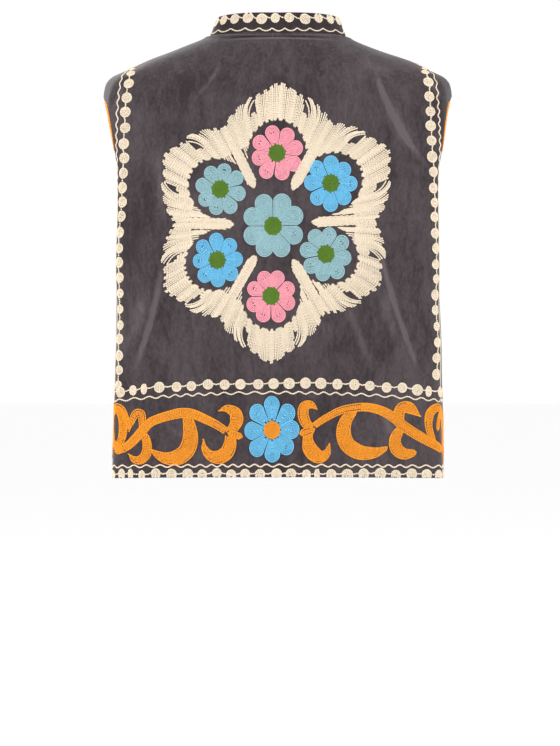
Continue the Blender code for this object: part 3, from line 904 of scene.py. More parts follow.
def on_hem(points):
    return on_round(points[:, 0], points[:, 1])


def on_side(sign):
    """Points there are the distance from the side line, towards the back, and the height."""

    def place(points):
        side_at = figures["back"].length(points[:, 1])
        return on_round(sign * (side_at - points[:, 0]), points[:, 1])

    return place


def on_neck_band(points):
    places, outward = on_collar(points[:, 0], points[:, 1])
    height = collar_height(points[:, 0])
    keep = (points[:, 1] > 0.0004) & (points[:, 1] < height - 0.0012)
    return places, outward, keep & (np.abs(points[:, 0]) < HALF_COLLAR - 0.002)


# ---------------------------------------------------------------- rows of stitches, drawn flat
def fine(row, step=0.0014):
    """The same line with points at even short steps."""
    row = np.asarray(row, float)
    along = distance_along(row[:, 0], row[:, 1])
    even = np.linspace(0.0, along[-1], max(2, int(math.ceil(along[-1] / step)) + 1))
    return np.stack([np.interp(even, along, row[:, k]) for k in (0, 1)], axis=-1)


def curve_through(points, step=0.0016):
    """A smooth line through points, at even steps; every column of the points is carried along."""
    points = np.asarray(points, float)
    padded = np.concatenate([[2 * points[0] - points[1]], points, [2 * points[-1] - points[-2]]])
    t = np.linspace(0.0, 1.0, 24, endpoint=False)[:, None]
    pieces = []
    for a, b, c, d in zip(padded, padded[1:], padded[2:], padded[3:]):
        square, cube = 2 * a - 5 * b + 4 * c - d, 3 * b - a - 3 * c + d
        pieces.append(0.5 * (2 * b + (c - a) * t + square * t**2 + cube * t**3))
    whole = np.concatenate(pieces + [points[-1:]])
    along = distance_along(whole[:, 0], whole[:, 1])
    even = np.linspace(0.0, along[-1], max(3, int(along[-1] / step)))
    return np.stack([np.interp(even, along, whole[:, k]) for k in range(whole.shape[1])], axis=-1)


def spiral(centre, radius, stretch=(1.0, 1.0), turn=0.0, pitch=ROW):
    """One row that winds from a disc's middle out to its rim."""
    first, last = 0.35 * pitch, radius - pitch / 2
    turns = max((last - first) / pitch, 0.5)
    angle = np.linspace(0.0, 2 * math.pi * (turns + 0.9), int(40 * turns) + 20)
    reach = np.minimum(first + pitch * angle / (2 * math.pi), last)
    x = centre[0] + stretch[0] * reach * np.cos(angle + turn)
    y = centre[1] + stretch[1] * reach * np.sin(angle + turn)
    return np.stack([x, y], axis=-1)


def petal(direction, start, radius, tip_radius, base_half):
    """Nested hoops that run out along a petal, round its tip and back. The flower's middle is at 0, 0."""
    rows = []
    tip_centre = radius - tip_radius
    for inset in np.arange(ROW * 0.5, tip_radius - 0.2 * ROW, ROW):
        tip = tip_radius - inset
        slope = (tip_radius - base_half) / (tip_centre - start)
        begin = max(start, start + (inset + 0.0009 - base_half) / slope)
        begin = min(begin, tip_centre)
        half = max(base_half + slope * (begin - start) - inset, 0.0006)
        bend = np.linspace(math.pi / 2, -math.pi / 2, 14)
        hoop = [(begin, half)]
        hoop += [(tip_centre + tip * math.cos(b), tip * math.sin(b)) for b in bend]
        hoop.append((begin, -half))
        rows.append(hoop)
    rows.append([(start + 0.004, 0.0), (tip_centre - 0.001, 0.0)])
    cos, sin = math.cos(direction), math.sin(direction)
    return [np.array([(x * cos - y * sin, x * sin + y * cos) for x, y in row]) for row in rows]


def flower(centre, radius, heart, seed, first, stretch=(1.0, 1.06), fullness=1.0):
    """(rows of the eight petals, rows of the heart). The first petal's angle is from straight up."""
    dice = np.random.default_rng(seed)
    start = heart + 0.0006
    rows = []
    for k in range(8):
        direction = math.radians(90 + first + 45 * k) + dice.uniform(-0.03, 0.03)
        length = radius * dice.uniform(0.955, 1.03)
        tip = fullness * 0.287 * radius * dice.uniform(0.97, 1.03)
        rows += petal(direction, start, length, tip, 0.40 * start)
    rows = [row * stretch + centre for row in rows]
    return rows, [spiral(centre, heart, (1.0, stretch[1] ** 0.5), dice.uniform(0, 6))]


def stroke(points, taken):
    """Parallel rows that fill a stroke of changing width. Points are (x, y, width)."""
    line = curve_through(points)
    way = np.gradient(line[:, :2], axis=0)
    way /= np.linalg.norm(way, axis=1, keepdims=True)
    sideways = np.stack([-way[:, 1], way[:, 0]], axis=-1)
    along = distance_along(line[:, 0], line[:, 1])
    half = line[:, 2] / 2
    for left, end_half in ((along, half[0]), (along[-1] - along, half[-1])):
        half = half * np.sqrt(1.0 - np.clip(1.0 - (left + 0.0004) / end_half, 0.0, 1.0) ** 2)
    edge = np.maximum(half - ROW / 2, 0.0)
    most = int(half.max() / ROW) + 1
    lines = [(edge, half > 0.3 * ROW), (-edge, half > 0.8 * ROW)]
    for k in range(-most, most + 1):
        lines.append((np.full(len(half), k * ROW), abs(k) * ROW <= half - 1.02 * ROW))
    rows = []
    for offset, inside in lines:
        row = line[:, :2] + sideways * offset[:, None]
        for other in taken:
            gap = np.linalg.norm(row[:, None] - other[None, :, :2], axis=-1) - other[None, :, 2] / 2
            inside = inside & (gap.min(axis=1) > -0.0006)
        rows += runs_of(row, inside)
    taken.append(line)
    return rows


def runs_of(row, inside):
    """The stretches of a row that lie inside."""
    edges = np.flatnonzero(np.diff(np.concatenate([[0], inside.astype(int), [0]])))
    return [row[a:b] for a, b in zip(edges[::2], edges[1::2]) if b - a >= 3]


# ---------------------------------------------------------------- chain stitch, by Geometry Nodes
def stitch_mesh(name, length, width, height):
    """One loop of chain stitch, low and flat underneath: two strands with a groove between them."""
    rim = [(-0.56, 0, 0), (-0.12, 0.47, 0.1), (0.34, 0.46, 0.1), (0.56, 0, 0.05)]
    rim += [(0.34, -0.46, 0.1), (-0.12, -0.47, 0.1)]
    crest = [(-0.08, 0.26, 0.95), (0.32, 0.27, 1.0), (-0.08, -0.26, 0.95), (0.32, -0.27, 1.0)]
    groove = [(-0.02, 0, 0.45), (0.30, 0, 0.5)]
    points = [(x * length, y * width, z * height) for x, y, z in rim + crest + groove]
    faces = [(0, 5, 8), (5, 4, 9), (5, 9, 8), (4, 3, 9), (0, 8, 10), (8, 9, 11), (8, 11, 10), (9, 3, 11)]
    faces += [(0, 10, 6), (10, 11, 7), (10, 7, 6), (11, 3, 7), (0, 6, 1), (6, 7, 2), (6, 2, 1), (7, 3, 2)]
    faces += [(0, 1, 5), (1, 2, 5), (2, 4, 5), (2, 3, 4)]
    mesh = bpy.data.meshes.new(name)
    mesh.from_pydata(points, [], faces)
    mesh.shade_smooth()
    return mesh


def chain_stitch_tree():
    """Lays a stitch at even steps along every row, along the row and upright on the cloth."""
    tree = bpy.data.node_groups.new("chain_stitch", "GeometryNodeTree")
    face = tree.interface
    face.new_socket("Rows", in_out="INPUT", socket_type="NodeSocketGeometry")
    inputs = (("Stitch", "Object"), ("Length", "Float"), ("Unevenness", "Float"), ("Material", "Material"))
    for name, kind in inputs:
        face.new_socket(name, in_out="INPUT", socket_type="NodeSocket" + kind)
    face.new_socket("Stitches", in_out="OUTPUT", socket_type="NodeSocketGeometry")
    nodes, links = tree.nodes, tree.links

    def node(kind, settings=None, sockets=None):
        made = nodes.new(kind)
        for setting, value in (settings or {}).items():
            setattr(made, setting, value)
        for key, value in (sockets or {}).items():
            if isinstance(value, bpy.types.NodeSocket):
                links.new(value, made.inputs[key])
            else:
                made.inputs[key].default_value = value
        return made

    entry = node("NodeGroupInput").outputs
    curve = node("GeometryNodeMeshToCurve", None, {"Mesh": entry["Rows"]})
    pace = node("GeometryNodeInputNamedAttribute", {"data_type": "FLOAT"}, {"Name": "pace"})
    length = node(
        "ShaderNodeMath", {"operation": "MULTIPLY"}, {0: entry["Length"], 1: pace.outputs["Attribute"]}
    )
    sockets = {"Curve": curve.outputs[0], "Length": length.outputs[0]}
    even = node("GeometryNodeResampleCurve", {"mode": "LENGTH"}, sockets)
    tangent = node("GeometryNodeInputTangent")
    settings, sockets = {"data_type": "FLOAT_VECTOR"}, {"Name": "up"}
    up = node("GeometryNodeInputNamedAttribute", settings, sockets)
    wide = node("GeometryNodeInputNamedAttribute", {"data_type": "FLOAT"}, {"Name": "wide"})
    along = node("FunctionNodeAlignRotationToVector", {"axis": "X"}, {"Vector": tangent.outputs[0]})
    settings = {"axis": "Z", "pivot_axis": "X"}
    sockets = {"Rotation": along.outputs[0], "Vector": up.outputs["Attribute"]}
    upright = node("FunctionNodeAlignRotationToVector", settings, sockets)
    less = node("ShaderNodeMath", {"operation": "SUBTRACT"}, {0: 1.0, 1: entry["Unevenness"]})
    more = node("ShaderNodeMath", {"operation": "ADD"}, {0: 1.0, 1: entry["Unevenness"]})
    sockets = {2: less.outputs[0], 3: more.outputs[0], "Seed": 11}
    chance = node("FunctionNodeRandomValue", {"data_type": "FLOAT"}, sockets)
    across = node(
        "ShaderNodeMath", {"operation": "MULTIPLY"}, {0: chance.outputs[1], 1: wide.outputs["Attribute"]}
    )
    sockets = {0: 1.0, 1: across.outputs[0], 2: chance.outputs[1]}
    scale = node("ShaderNodeCombineXYZ", None, sockets)
    shape = node("GeometryNodeObjectInfo", {"transform_space": "ORIGINAL"}, {"Object": entry["Stitch"]})
    placed = node(
        "GeometryNodeInstanceOnPoints",
        None,
        {
            "Points": even.outputs[0],
            "Instance": shape.outputs["Geometry"],
            "Rotation": upright.outputs[0],
            "Scale": scale.outputs[0],
        },
    )
    real = node("GeometryNodeRealizeInstances", None, {0: placed.outputs[0]})
    sockets = {"Geometry": real.outputs[0], "Material": entry["Material"]}
    painted = node("GeometryNodeSetMaterial", None, sockets)
    node("NodeGroupOutput", None, {0: painted.outputs[0]})
    return tree


CHAIN_STITCH = chain_stitch_tree()
STITCH_SHAPES = {}


def stitch_shape(length, width, height):
    key = (length, width, height)
    if key not in STITCH_SHAPES:
        name = f"stitch_{len(STITCH_SHAPES)}"
        STITCH_SHAPES[key] = bpy.data.objects.new(name, stitch_mesh(name, *key))
    return STITCH_SHAPES[key]


def needlework(name, slot, place_on, rows, stitch=STITCH, width=1.0, lift=0.0, thin=False):
    """Lays flat rows on the cloth and works them in chain stitch, as one piece."""
    places, ups, widths, paces, edges = [], [], [], [], []
    dice = np.random.default_rng(len(rows))
    count = 0
    for row in rows:
        if isinstance(row, tuple):
            row, row_width = row
        else:
            row_width = width
        points = fine(row)
        where, outward, keep = place_on(points)
        for run in runs_of(np.arange(len(points)), keep):
            places.append(where[run] + outward[run] * lift)
            ups.append(outward[run])
            widths.append(np.full(len(run), row_width))
            paces.append(np.full(len(run), dice.uniform(0.88, 1.12)))
            edges.append(np.stack([np.arange(len(run) - 1), np.arange(1, len(run))], axis=-1) + count)
            count += len(run)
    mesh = bpy.data.meshes.new(name)
    mesh.from_pydata(np.concatenate(places).tolist(), np.concatenate(edges).tolist(), [])
    up = mesh.attributes.new("up", "FLOAT_VECTOR", "POINT")
    up.data.foreach_set("vector", np.concatenate(ups).astype(np.float32).ravel())
    for attribute, values in (("wide", widths), ("pace", paces)):
        made = mesh.attributes.new(attribute, "FLOAT", "POINT")
        made.data.foreach_set("value", np.concatenate(values).astype(np.float32))
    piece = plain_object(name, mesh, [])
    work = piece.modifiers.new("chain_stitch", "NODES")
    work.node_group = CHAIN_STITCH
    if thin:
        shape = stitch_shape(0.9 * stitch, 0.0007, 0.0005)
    else:
        shape = stitch_shape(1.42 * stitch, 1.12 * ROW, 0.0010)
    values = {
        "Stitch": shape,
        "Length": stitch,
        "Unevenness": 0.07,
        "Material": MATERIALS[slot],
    }
    for item in CHAIN_STITCH.interface.items_tree:
        if item.in_out == "INPUT" and item.name in values:
            work[item.identifier] = values[item.name]
    finished(piece)
    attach(piece, "root")
    return piece


# ---------------------------------------------------------------- the medallion on the back
MEDALLION = (0.0063, -0.2291)
# The wreath's lengths are counted in steps of this size, and its angles in degrees.
WREATH_STEP = 0.001267

# Each lobe of the wreath: its angle from straight up, towards -X, and its reach.
LOBES = [(3, 142), (57, 139), (119, 122), (181, 137), (239, 126), (303, 129)]
# How far the outline falls short of the reach, by the angle from the lobe's middle.
LOBE_FALL = [(0, 0), (2.5, 1.5), (5, 5.5), (9, 9), (11.0, 11.5), (11.6, 26), (14.8, 28)]
LEAF_FALL = [(14.8, 12), (16.2, 9.5), (18, 11.5), (22, 17.5), (26, 23), (30, 28), (34, 31)]
LEAF_START = 14.8
LEAF_LEAN, LEAF_TIP = 3.3, 16
ROW_ANGLE = 0.687
# Of the rows that start just short of this reach, every other one is held back to it.
ALL_ROWS = 84.0
# The hollow round each small flower, as half its width and half its height.
HOLLOW = (30.0, 35.0)
SPOKE_HALF_ANGLE = 3.4
SPOKE_GATHER = 88.0
# The seven flowers: across and height from the middle (millimetres), radius, first petal, thread.
FLOWERS = [
    (0.0, -1.3, 41, 22, "teal"),
    (-5.1, 91.2, 34, -15, "pink"),
    (-73.5, 53.2, 34, 0, "blue"),
    (-67.2, -36.7, 34, 10, "teal"),
    (2.5, -90.0, 33, 22, "pink"),
    (71.0, -44.3, 33, -3, "blue"),
    (67.2, 45.6, 33, 12, "teal"),
]


def wreath_rows():
    """Rows that stand out from the middle, in groups of three or four with rounded ends."""
    dice = np.random.default_rng(21)
    lobe_angles = np.array([angle for angle, _ in LOBES], float)
    reaches = np.array([reach for _, reach in LOBES], float)
    round_angles = np.concatenate([[lobe_angles[-1] - 360], lobe_angles, [lobe_angles[0] + 360]])
    round_reaches = np.concatenate([reaches[-1:], reaches, reaches[:1]])
    rings = [(-a / 1000 / WREATH_STEP, h / 1000 / WREATH_STEP) for a, h, *_ in FLOWERS[1:]]
    ring_angles = np.degrees([math.atan2(x, y) for x, y in rings]) % 360
    ring_reach = np.hypot(*np.array(rings).T)
    order = np.argsort(ring_angles)
    middles = ring_angles[order]
    spokes = (middles + np.diff(np.append(middles, middles[0] + 360)) / 2) % 360
    tips = [dice.uniform(36, 43) for _ in spokes]
    rows = []
    angle, group_left, group_size, group_place = 0.0, 0, 1, 0
    while angle < 360.0:
        if group_left == 0:
            group_size = int(dice.integers(4, 8))
            group_left, group_place = group_size, 0
        share = group_place / (group_size - 1) * 2 - 1
        bulge = 2.9 * math.sqrt(max(0.0, 1 - share**2)) - 2.0
        nearest = np.abs((angle - lobe_angles + 180) % 360 - 180)
        delta = float(nearest.min())
        reach = float(np.interp(angle, round_angles, round_reaches))
        in_leaf = delta > LEAF_START
        fall = LEAF_FALL if in_leaf else LOBE_FALL
        outer = reach - np.interp(delta, *zip(*fall)) + bulge + dice.uniform(-0.3, 0.3)
        beside = (angle - spokes + 180) % 360 - 180
        spoke = int(np.abs(beside).argmin())
        off_spoke = float(beside[spoke])
        on_spoke = abs(off_spoke) < SPOKE_HALF_ANGLE
        if on_spoke:
            inner = tips[spoke] + 9.0 * (off_spoke / SPOKE_HALF_ANGLE) ** 2 + dice.uniform(-0.5, 0.5)
        else:
            inner = inner_reach(angle, ring_angles, ring_reach, abs(off_spoke)) - bulge * 0.8
            if len(rows) % 2 and inner > ALL_ROWS - 10:
                inner = max(inner, ALL_ROWS)
        steps = np.linspace(inner, outer, 36)
        middle_angle = lobe_angles[nearest.argmin()]
        way = -1.0 if (angle - middle_angle + 180) % 360 - 180 > 0 else 1.0
        lean = way * LEAF_LEAN * smooth_step((25.0 - delta) / 9.0) if in_leaf else 0.0
        tip = np.clip((steps - outer) / LEAF_TIP + 1, 0, 1) ** 2
        turn = angle + lean * tip + 0.15 * math.sin(len(rows) * 0.7)
        if on_spoke:
            # Inside this radius a spoke's rows run side by side, with a wavy edge.
            gather = np.maximum(SPOKE_GATHER / steps, 1.0) - 1.0
            wave = 0.14 * np.sin(steps * 1.1 + spoke) * (steps < SPOKE_GATHER)
            turn = turn + off_spoke * (gather + wave)
        turn = np.radians(turn)
        row = np.stack([-steps * np.sin(turn), steps * np.cos(turn)], axis=-1) * WREATH_STEP + MEDALLION
        spread = math.radians(ROW_ANGLE) * (inner + outer) / 2 * WREATH_STEP / ROW
        rows.append((row, float(np.clip(spread * 1.08, 0.96, 1.28))))
        angle += ROW_ANGLE * (1.0 + 0.16 * (group_left == 1))
        group_left -= 1
        group_place += 1
    return rows


def inner_reach(angle, ring_angles, ring_reach, off_spoke):
    """Where a row starts: past the arch round each flower, and clear of the spokes' parallel rows."""
    clear_of_spoke = 6.4 / max(math.sin(math.radians(off_spoke)), 0.02)
    for ring, reach in zip(ring_angles, ring_reach):
        off = math.radians((angle - ring + 180) % 360 - 180)
        if abs(off) > math.radians(40):
            continue
        wide, tall = HOLLOW
        a = (math.cos(off) / tall) ** 2 + (math.sin(off) / wide) ** 2
        b = -2 * math.cos(off) * reach / tall**2
        c = (reach / tall) ** 2 - 1
        inside = b * b - 4 * a * c
        if inside > 0:
            leaves = (-b + math.sqrt(inside)) / (2 * a)
            return max(leaves, min(clear_of_spoke, ALL_ROWS))
    return min(ALL_ROWS, max(clear_of_spoke, 60.0))


def make_medallion():
    pieces = [needlework("medallion_wreath", "thread_cream", on_back, wreath_rows())]
    petals = {"teal": [], "pink": [], "blue": []}
    hearts = []
    for k, (across, height, radius, first, thread) in enumerate(FLOWERS):
        centre = (MEDALLION[0] + across / 1000, MEDALLION[1] + height / 1000)
        heart = 0.0108 if k else 0.0112
        rows, middle = flower(centre, radius / 1000, heart, 40 + k, first)
        petals[thread] += rows
        hearts += middle
    for thread, rows in petals.items():
        name, slot = f"medallion_{thread}_flowers", f"thread_{thread}"
        pieces.append(needlework(name, slot, on_back, rows, PETAL_STITCH, PETAL_ROW))
    pieces.append(
        needlework(
            "medallion_flower_hearts", "thread_green", on_back, hearts, HEART_STITCH, lift=0.0002
        )
    )
    return pieces


# ---------------------------------------------------------------- the band along the hem
HEM_FLOWER = (0.0076, -0.4894)
FRONT_FLOWER = 0.424
# Strokes of the scroll on either side of its flower: (out, up, width) in millimetres.
SCROLL_LEFT = [
    [(38.6, -8.7, 8.7), (46, -6.5, 9), (55, -4, 8.7)],
    [(66.9, 24.5, 1.5), (57.5, 27.2, 9.5), (47.3, 22.3, 15), (44.8, 13.6, 17), (48, 4.4, 14),
     (56, -4.5, 11)],
    [(53.8, -3, 11), (53.1, -16.5, 16), (57.5, -28.6, 18), (67.7, -34.5, 17.5), (79, -32, 13),
     (86, -23, 8), (87, -13, 1.5)],
    [(56, -3, 9), (70.4, 6.4, 10.5), (84.4, 13.4, 11.5), (101, 20.2, 12.5), (115, 21.4, 13),
     (130.2, 18.5, 12.5), (145, 14.1, 12), (156, 9, 12), (164.2, 1, 12.5), (175, -11, 12),
     (187, -21.5, 11), (203, -28, 10)],
    [(110, 20, 10), (105.5, 6, 16), (104, -11, 20), (109, -26, 21), (121, -35, 20), (136, -36, 15),
     (149, -30, 8), (155, -25, 2)],
    [(165.5, -2, 9), (166, 9, 10), (167.5, 20, 10.5), (174.5, 20.5, 10.5), (180, 11, 8.5),
     (183.5, -1, 1.5)],
    [(163.5, -5, 10), (160, -18, 12), (161, -30, 13), (168, -38, 12), (177, -38, 9),
     (183.5, -31.5, 1.5)],
    [(199, -22, 9), (193, -9, 11), (191.5, 6, 12), (194, 19, 12), (201, 25, 10), (209, 22, 8),
     (214, 12, 7), (216, 0, 6)],
]
SCROLL_RIGHT = [
    [(36, -4.5, 9.5), (44, -2.5, 10.5), (53, 1, 10)],
    [(56.5, 27, 2), (49.5, 32, 10), (41.5, 30, 13), (39.5, 21, 14), (42.5, 10, 13.5),
     (50, 1.5, 11)],
    [(48.5, 3, 10), (45.5, -11, 13), (49, -25, 19), (59, -33.5, 18), (69, -30, 11), (73, -18.5, 2)],
    [(50, 3, 8), (68, 15, 9), (90, 25.5, 10), (117, 29, 11), (138, 25, 12), (155, 16, 13),
     (171, 3, 13.5), (190, -8.5, 13), (207, -17.5, 12), (224, -26, 11)],
    [(106, 26, 9), (94, 11.5, 16), (91, -5, 19), (97, -19.5, 20), (112, -28.5, 19), (130, -29, 14),
     (143, -24.5, 7), (146, -22.5, 5)],
    [(163, 8, 13), (162.5, 21, 15), (168, 29, 14), (178, 27, 14.5), (190, 17.5, 2)],
    [(165, 2, 11), (157.5, -11, 15), (159, -23.5, 17), (169, -30.5, 15), (184, -29, 8)],
    [(208, -15, 9), (202, 4, 10), (203.5, 20, 12), (212, 28, 11), (222, 26, 10), (229, 14, 8),
     (232, 2, 6)],
]

# What ends the scroll in front, before the opening's edge.
SCROLL_END = [(55, -1, 8), (70, 7, 10.5), (86, 10.5, 11), (98, 5, 8), (104, -6, 1.5)]


def scroll_rows(centre, direction, whole):
    """The scroll on one side of a flower, whole or only as far as the front edge."""
    rows, taken = [], []
    strokes = SCROLL_LEFT if direction > 0 else SCROLL_RIGHT
    for points in strokes if whole else strokes[:3] + [SCROLL_END]:
        shape = [
            (centre[0] + direction * out / 1000, centre[1] + up / 1000, width / 1000)
            for out, up, width in points
        ]
        rows += stroke(shape, taken)
    return rows


def hem_upper(along):
    return -0.4305 - 0.0105 * np.clip(np.abs(along) / 0.21, 0, 1) ** 2


def disc_line(first, last, spacing, height_of, seed, pinch=(), size_of=DISC, sloping=False):
    """(discs, joining rows) of one string of discs. Discs are (x, y, half width, half height)."""
    dice = np.random.default_rng(seed)
    discs = []
    along = first
    while along < last:
        narrow = 1.0
        for centre, reach in pinch:
            narrow -= 0.55 * math.exp(-(((along - centre) / reach) ** 2))
        across = height_of(along) + dice.uniform(-0.0011, 0.0011)
        size = size_of * dice.uniform(0.92, 1.08)
        discs.append((along, across, size * narrow * dice.uniform(0.94, 1.04), size))
        along += spacing * (0.35 + 0.65 * narrow) * dice.uniform(0.90, 1.10)
    joins = []
    for a, b in zip(discs, discs[1:]):
        start = (a[0] + a[2] * 0.8, a[1] + a[3] * 0.25)
        end = (b[0] - b[2] * 0.8, b[1] + b[3] * 0.15)
        if sloping:
            start, end = (a[0] + a[2] * 0.85, a[1] - a[3] * 0.05), (b[0] - b[2] * 0.6, b[1] + b[3] * 0.6)
        middle = ((start[0] + end[0]) / 2, (start[1] + end[1]) / 2 - 0.0012)
        joins.append([start, middle, end])
    rows = []
    for x, y, half_width, half_height in discs:
        size = max(half_width, half_height)
        stretch = (half_width / size, half_height / size)
        rows.append(spiral((x, y), size, stretch, dice.uniform(0, 6), 0.00175))
    return rows, [np.array(join) for join in joins]


def wavy(first, last, wavelength, size, height_of, seed, pointed=False):
    """One wavy row, with crests sharper than its troughs if it is pointed."""
    dice = np.random.default_rng(seed)
    along = np.arange(first, last, 0.001)
    phase = np.cumsum(1 + 0.16 * np.sin(along * 37 + dice.uniform(0, 6))) * 0.001
    turn = 2 * math.pi * phase / wavelength
    swing = 1 - 2 * np.abs(np.sin(turn / 2)) ** 0.8 if pointed else np.sin(turn)
    across = np.array([height_of(a) for a in along]) + size * swing
    return np.stack([along, across], axis=-1)


def make_hem_band():
    cream, joins = [], []
    half = 0.60
    pinched = [(0.1766, 0.012), (-0.1985, 0.010)]
    rows, links = disc_line(-half, half, 0.0208, hem_upper, 61, pinched)
    cream += rows
    joins += links
    joins.append(wavy(-half, half, 0.0175, 0.0015, lambda s: hem_upper(s) - 0.0114, 62))

    def lower(along):
        return -0.5450 - 0.0035 * np.clip(abs(along) / 0.28, 0, 1) ** 2

    rows, links = disc_line(-half, half, 0.0196, lower, 63, [(0.19, 0.02), (-0.05, 0.01)])
    cream += rows
    joins += links
    joins.append(wavy(-half, half, 0.0155, 0.0016, lambda s: lower(s) + 0.0105, 64))
    centres = [HEM_FLOWER, (FRONT_FLOWER, HEM_FLOWER[1]), (-FRONT_FLOWER, HEM_FLOWER[1])]
    scroll, petals, hearts = [], [], []
    for k, centre in enumerate(centres):
        for direction in (1, -1):
            whole = k == 0 or (centre[0] > 0) != (direction > 0)
            scroll += scroll_rows(centre, direction, whole)
        rows, middle = flower(centre, 0.0366, 0.0105, 70 + k, 0, (1.0, 1.18), 0.98)
        petals += rows
        hearts += middle
    return [
        needlework("hem_discs", "thread_cream", on_hem, cream, FINE_STITCH),
        needlework("hem_wavy_lines", "thread_cream", on_hem, joins, FINE_STITCH),
        needlework("hem_scroll", "thread_orange", on_hem, scroll),
        needlework("hem_flowers", "thread_blue", on_hem, petals, PETAL_STITCH, PETAL_ROW, 0.0004),
        needlework("hem_flower_hearts", "thread_orange", on_hem, hearts, HEART_STITCH, lift=0.0006),
    ]


# ---------------------------------------------------------------- the bands down the sides
# Height and distance from the middle of the disc column at the back, seen square on.
COLUMN = np.array(
    [
        (-0.446, 0.2070),
        (-0.430, 0.2040),
        (-0.370, 0.2030),
        (-0.240, 0.2008),
        (-0.130, 0.1972),
        (-0.053, 0.1930),
        (-0.023, 0.1880),
        (-0.0175, 0.1800),
    ]
)


def column_from_side(height):
    """How far the disc column lies from the side line, along the cloth."""
    x = float(np.interp(height, COLUMN[:, 0], COLUMN[:, 1]))
    figure = figures["back"]
    return float(figure.length(height)) - figure.across_at(x, height)


COLUMN_HEIGHTS = np.linspace(-0.0175, -0.450, 160)
COLUMN_FROM_SIDE = np.array([column_from_side(height) for height in COLUMN_HEIGHTS])
# The column on the front stands a little further from the side line, clear of the deeper armhole.
FRONT_COLUMN = 1.13


def on_column(sign, at_back):
    """Points there are the distance down a disc column from the shoulder, and out from its middle."""
    from_side = COLUMN_FROM_SIDE if at_back else -FRONT_COLUMN * COLUMN_FROM_SIDE
    places = on_side(sign)(np.stack([from_side, COLUMN_HEIGHTS], axis=-1))[0]
    down = np.concatenate([[0.0], np.cumsum(np.linalg.norm(np.diff(places, axis=0), axis=1))])

    def place(points):
        height = np.interp(points[:, 0], down, COLUMN_HEIGHTS)
        aside = np.interp(points[:, 0], down, from_side) - points[:, 1] * (1 if at_back else -1)
        return on_side(sign)(np.stack([aside, height], axis=-1))

    return place, float(np.interp(0.437, -COLUMN_HEIGHTS, down)), float(down[-1])


def make_side_band(name, sign, seed):
    """A string of discs with a wavy line outside it, at the back and at the front of one side."""
    pieces = []
    for at_back, where in ((True, "back"), (False, "front")):
        place_on, last_disc, foot = on_column(sign, at_back)
        dice = seed + 10 * at_back
        discs, joins = disc_line(0.005, last_disc, 0.0195, lambda s: 0.0, dice)
        joins.append(wavy(0.004, foot, 0.0125, 0.0013, lambda s: 0.0115, dice + 1))
        for kind, rows in (("discs", discs), ("lines", joins)):
            piece_name = f"{name}_{where}_{kind}"
            pieces.append(needlework(piece_name, "thread_cream", place_on, rows, FINE_STITCH))
    orange, taken = [], []
    edge_stroke = ((-0.068, 6), (-0.076, 9), (-0.090, 9), (-0.106, 6.5), (-0.120, 3.5), (-0.131, 1.5))
    for side, way in (("back", 1), ("front", -1)):
        points = []
        for height, width in edge_stroke:
            edge = float(armhole_cut(side, np.array(height)))
            points.append((way * (edge + 0.0008 + width / 2000), height, width / 1000))
        orange += stroke(points, taken)
    pieces.append(needlework(f"{name}_armhole_leaves", "thread_orange", on_side(sign), orange))
    return pieces


# ---------------------------------------------------------------- the collar's needlework
def make_collar_work():
    first, last = -HALF_COLLAR + 0.012, HALF_COLLAR - 0.008
    rows, links = disc_line(first, last, 0.0208, lambda s: 0.0196, 81, (), COLLAR_DISC, True)
    line = wavy(-HALF_COLLAR, HALF_COLLAR, 0.0190, 0.0020, lambda s: 0.0046, 83, True)
    return [
        needlework("collar_discs", "thread_cream", on_neck_band, rows, FINE_STITCH),
        needlework("collar_wavy_line", "thread_cream", on_neck_band, links + [line], FINE_STITCH),
    ]


def make_neck_topstitch():
    """A line of sewing thread below the neck seam all round, and the bar tack near its middle."""
    pieces = []
    for side, panels in (("back", ("back",)), ("front", ("front_left", "front_right"))):
        end = math.pi / 2 if side == "back" else NECK_END_TURN
        line = neck_line(side, np.linspace(0.0, end, 120))
        way = np.gradient(line, axis=0)
        way /= np.linalg.norm(way, axis=1, keepdims=True)
        below = line + 0.0036 * np.stack([-way[:, 1], way[:, 0]], axis=-1)
        for panel in panels:
            rows = [below]
            if panel == "back":
                rows = [below, below * [-1, 1]]
                rows += [[(x, line[-1, 1] - 0.0012), (x, line[-1, 1] - 0.0052)] for x in (0.0060, 0.0067)]
            name = f"{panel}_neck_topstitch"
            place_on = on_cloth(panel)
            pieces.append(needlework(name, "thread_grey", place_on, rows, SEWN_STITCH, thin=True))
    return pieces


needle_pieces = make_medallion() + make_hem_band()
needle_pieces += make_side_band("left_side", 1, 100) + make_side_band("right_side", -1, 140)
needle_pieces += make_neck_topstitch()
collar_work = make_collar_work()

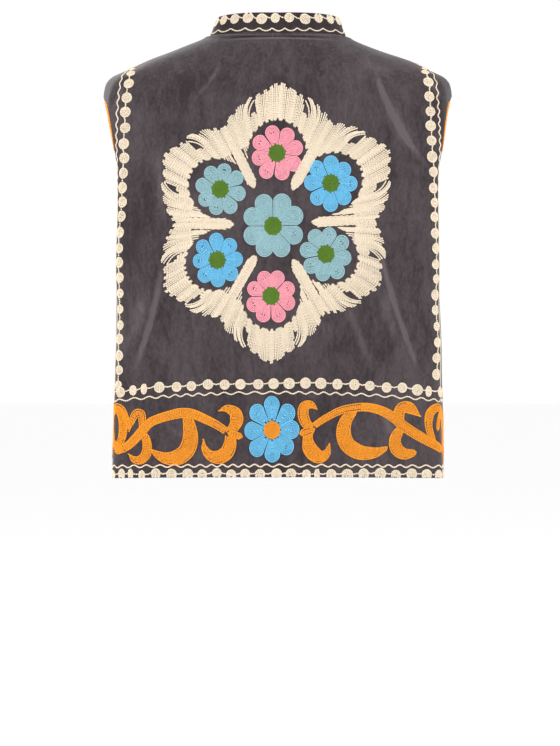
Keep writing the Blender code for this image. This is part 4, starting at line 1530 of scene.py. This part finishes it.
# ---------------------------------------------------------------- the frame: what rides and replaces what
for piece, node, slot in (
    (back, "back", "velvet"),
    (front_left, "front_left", "velvet"),
    (front_right, "front_right", "velvet"),
    (collar, "collar", "collar_velvet"),
):
    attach(piece, "root")
    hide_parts(node)

# ---------------------------------------------------------------- floor, light and camera
floor_mesh = bpy.data.meshes.new("floor")
reach = 60.0
corners = [(x * reach, y * reach, -1.0) for x, y in ((-1, -1), (1, -1), (1, 1), (-1, 1))]
floor_mesh.from_pydata(corners, [], [(0, 1, 2, 3)])
floor = bpy.data.objects.new("floor", floor_mesh)
collection.objects.link(floor)
floor_finish = Finish("pale_floor", {"Roughness": 0.9})
floor_finish.shader.inputs["Base Color"].default_value = (0.97, 0.97, 0.97, 1.0)
floor_mesh.materials.append(floor_finish.material)

world = bpy.data.worlds.new("studio")
bpy.context.scene.world = world
world.use_nodes = True
world.node_tree.nodes["Background"].inputs["Color"].default_value = (1.0, 1.0, 1.0, 1.0)
world.node_tree.nodes["Background"].inputs["Strength"].default_value = 1.0

LIT_PLACE = np.array([0.0, 0.0, -0.27])
for name, place, size, power in (
    ("key_light", (-2.6, 2.2, 1.9), 1.2, 110.0),
    ("side_light", (2.9, 1.3, 0.5), 1.0, 60.0),
    ("front_light", (1.8, -3.0, 1.6), 1.4, 100.0),
):
    light = bpy.data.lights.new(name, "AREA")
    light.size, light.energy = size, power
    lamp = bpy.data.objects.new(name, light)
    lamp.location = place
    toward = LIT_PLACE - np.array(place)
    tilt = math.acos(-toward[2] / np.linalg.norm(toward))
    lamp.rotation_euler = (tilt, 0.0, math.atan2(-toward[0], toward[1]))
    collection.objects.link(lamp)

camera_data = bpy.data.cameras.new("camera")
camera_data.lens = 167.04
camera_data.sensor_width = 36.0
camera = bpy.data.objects.new("camera", camera_data)
camera.location = (-0.0026, 4.5, -0.417)
camera.rotation_euler = (math.pi / 2, 0.0, math.pi)
collection.objects.link(camera)
bpy.context.scene.camera = camera
bpy.context.scene.view_settings.view_transform = "Standard"
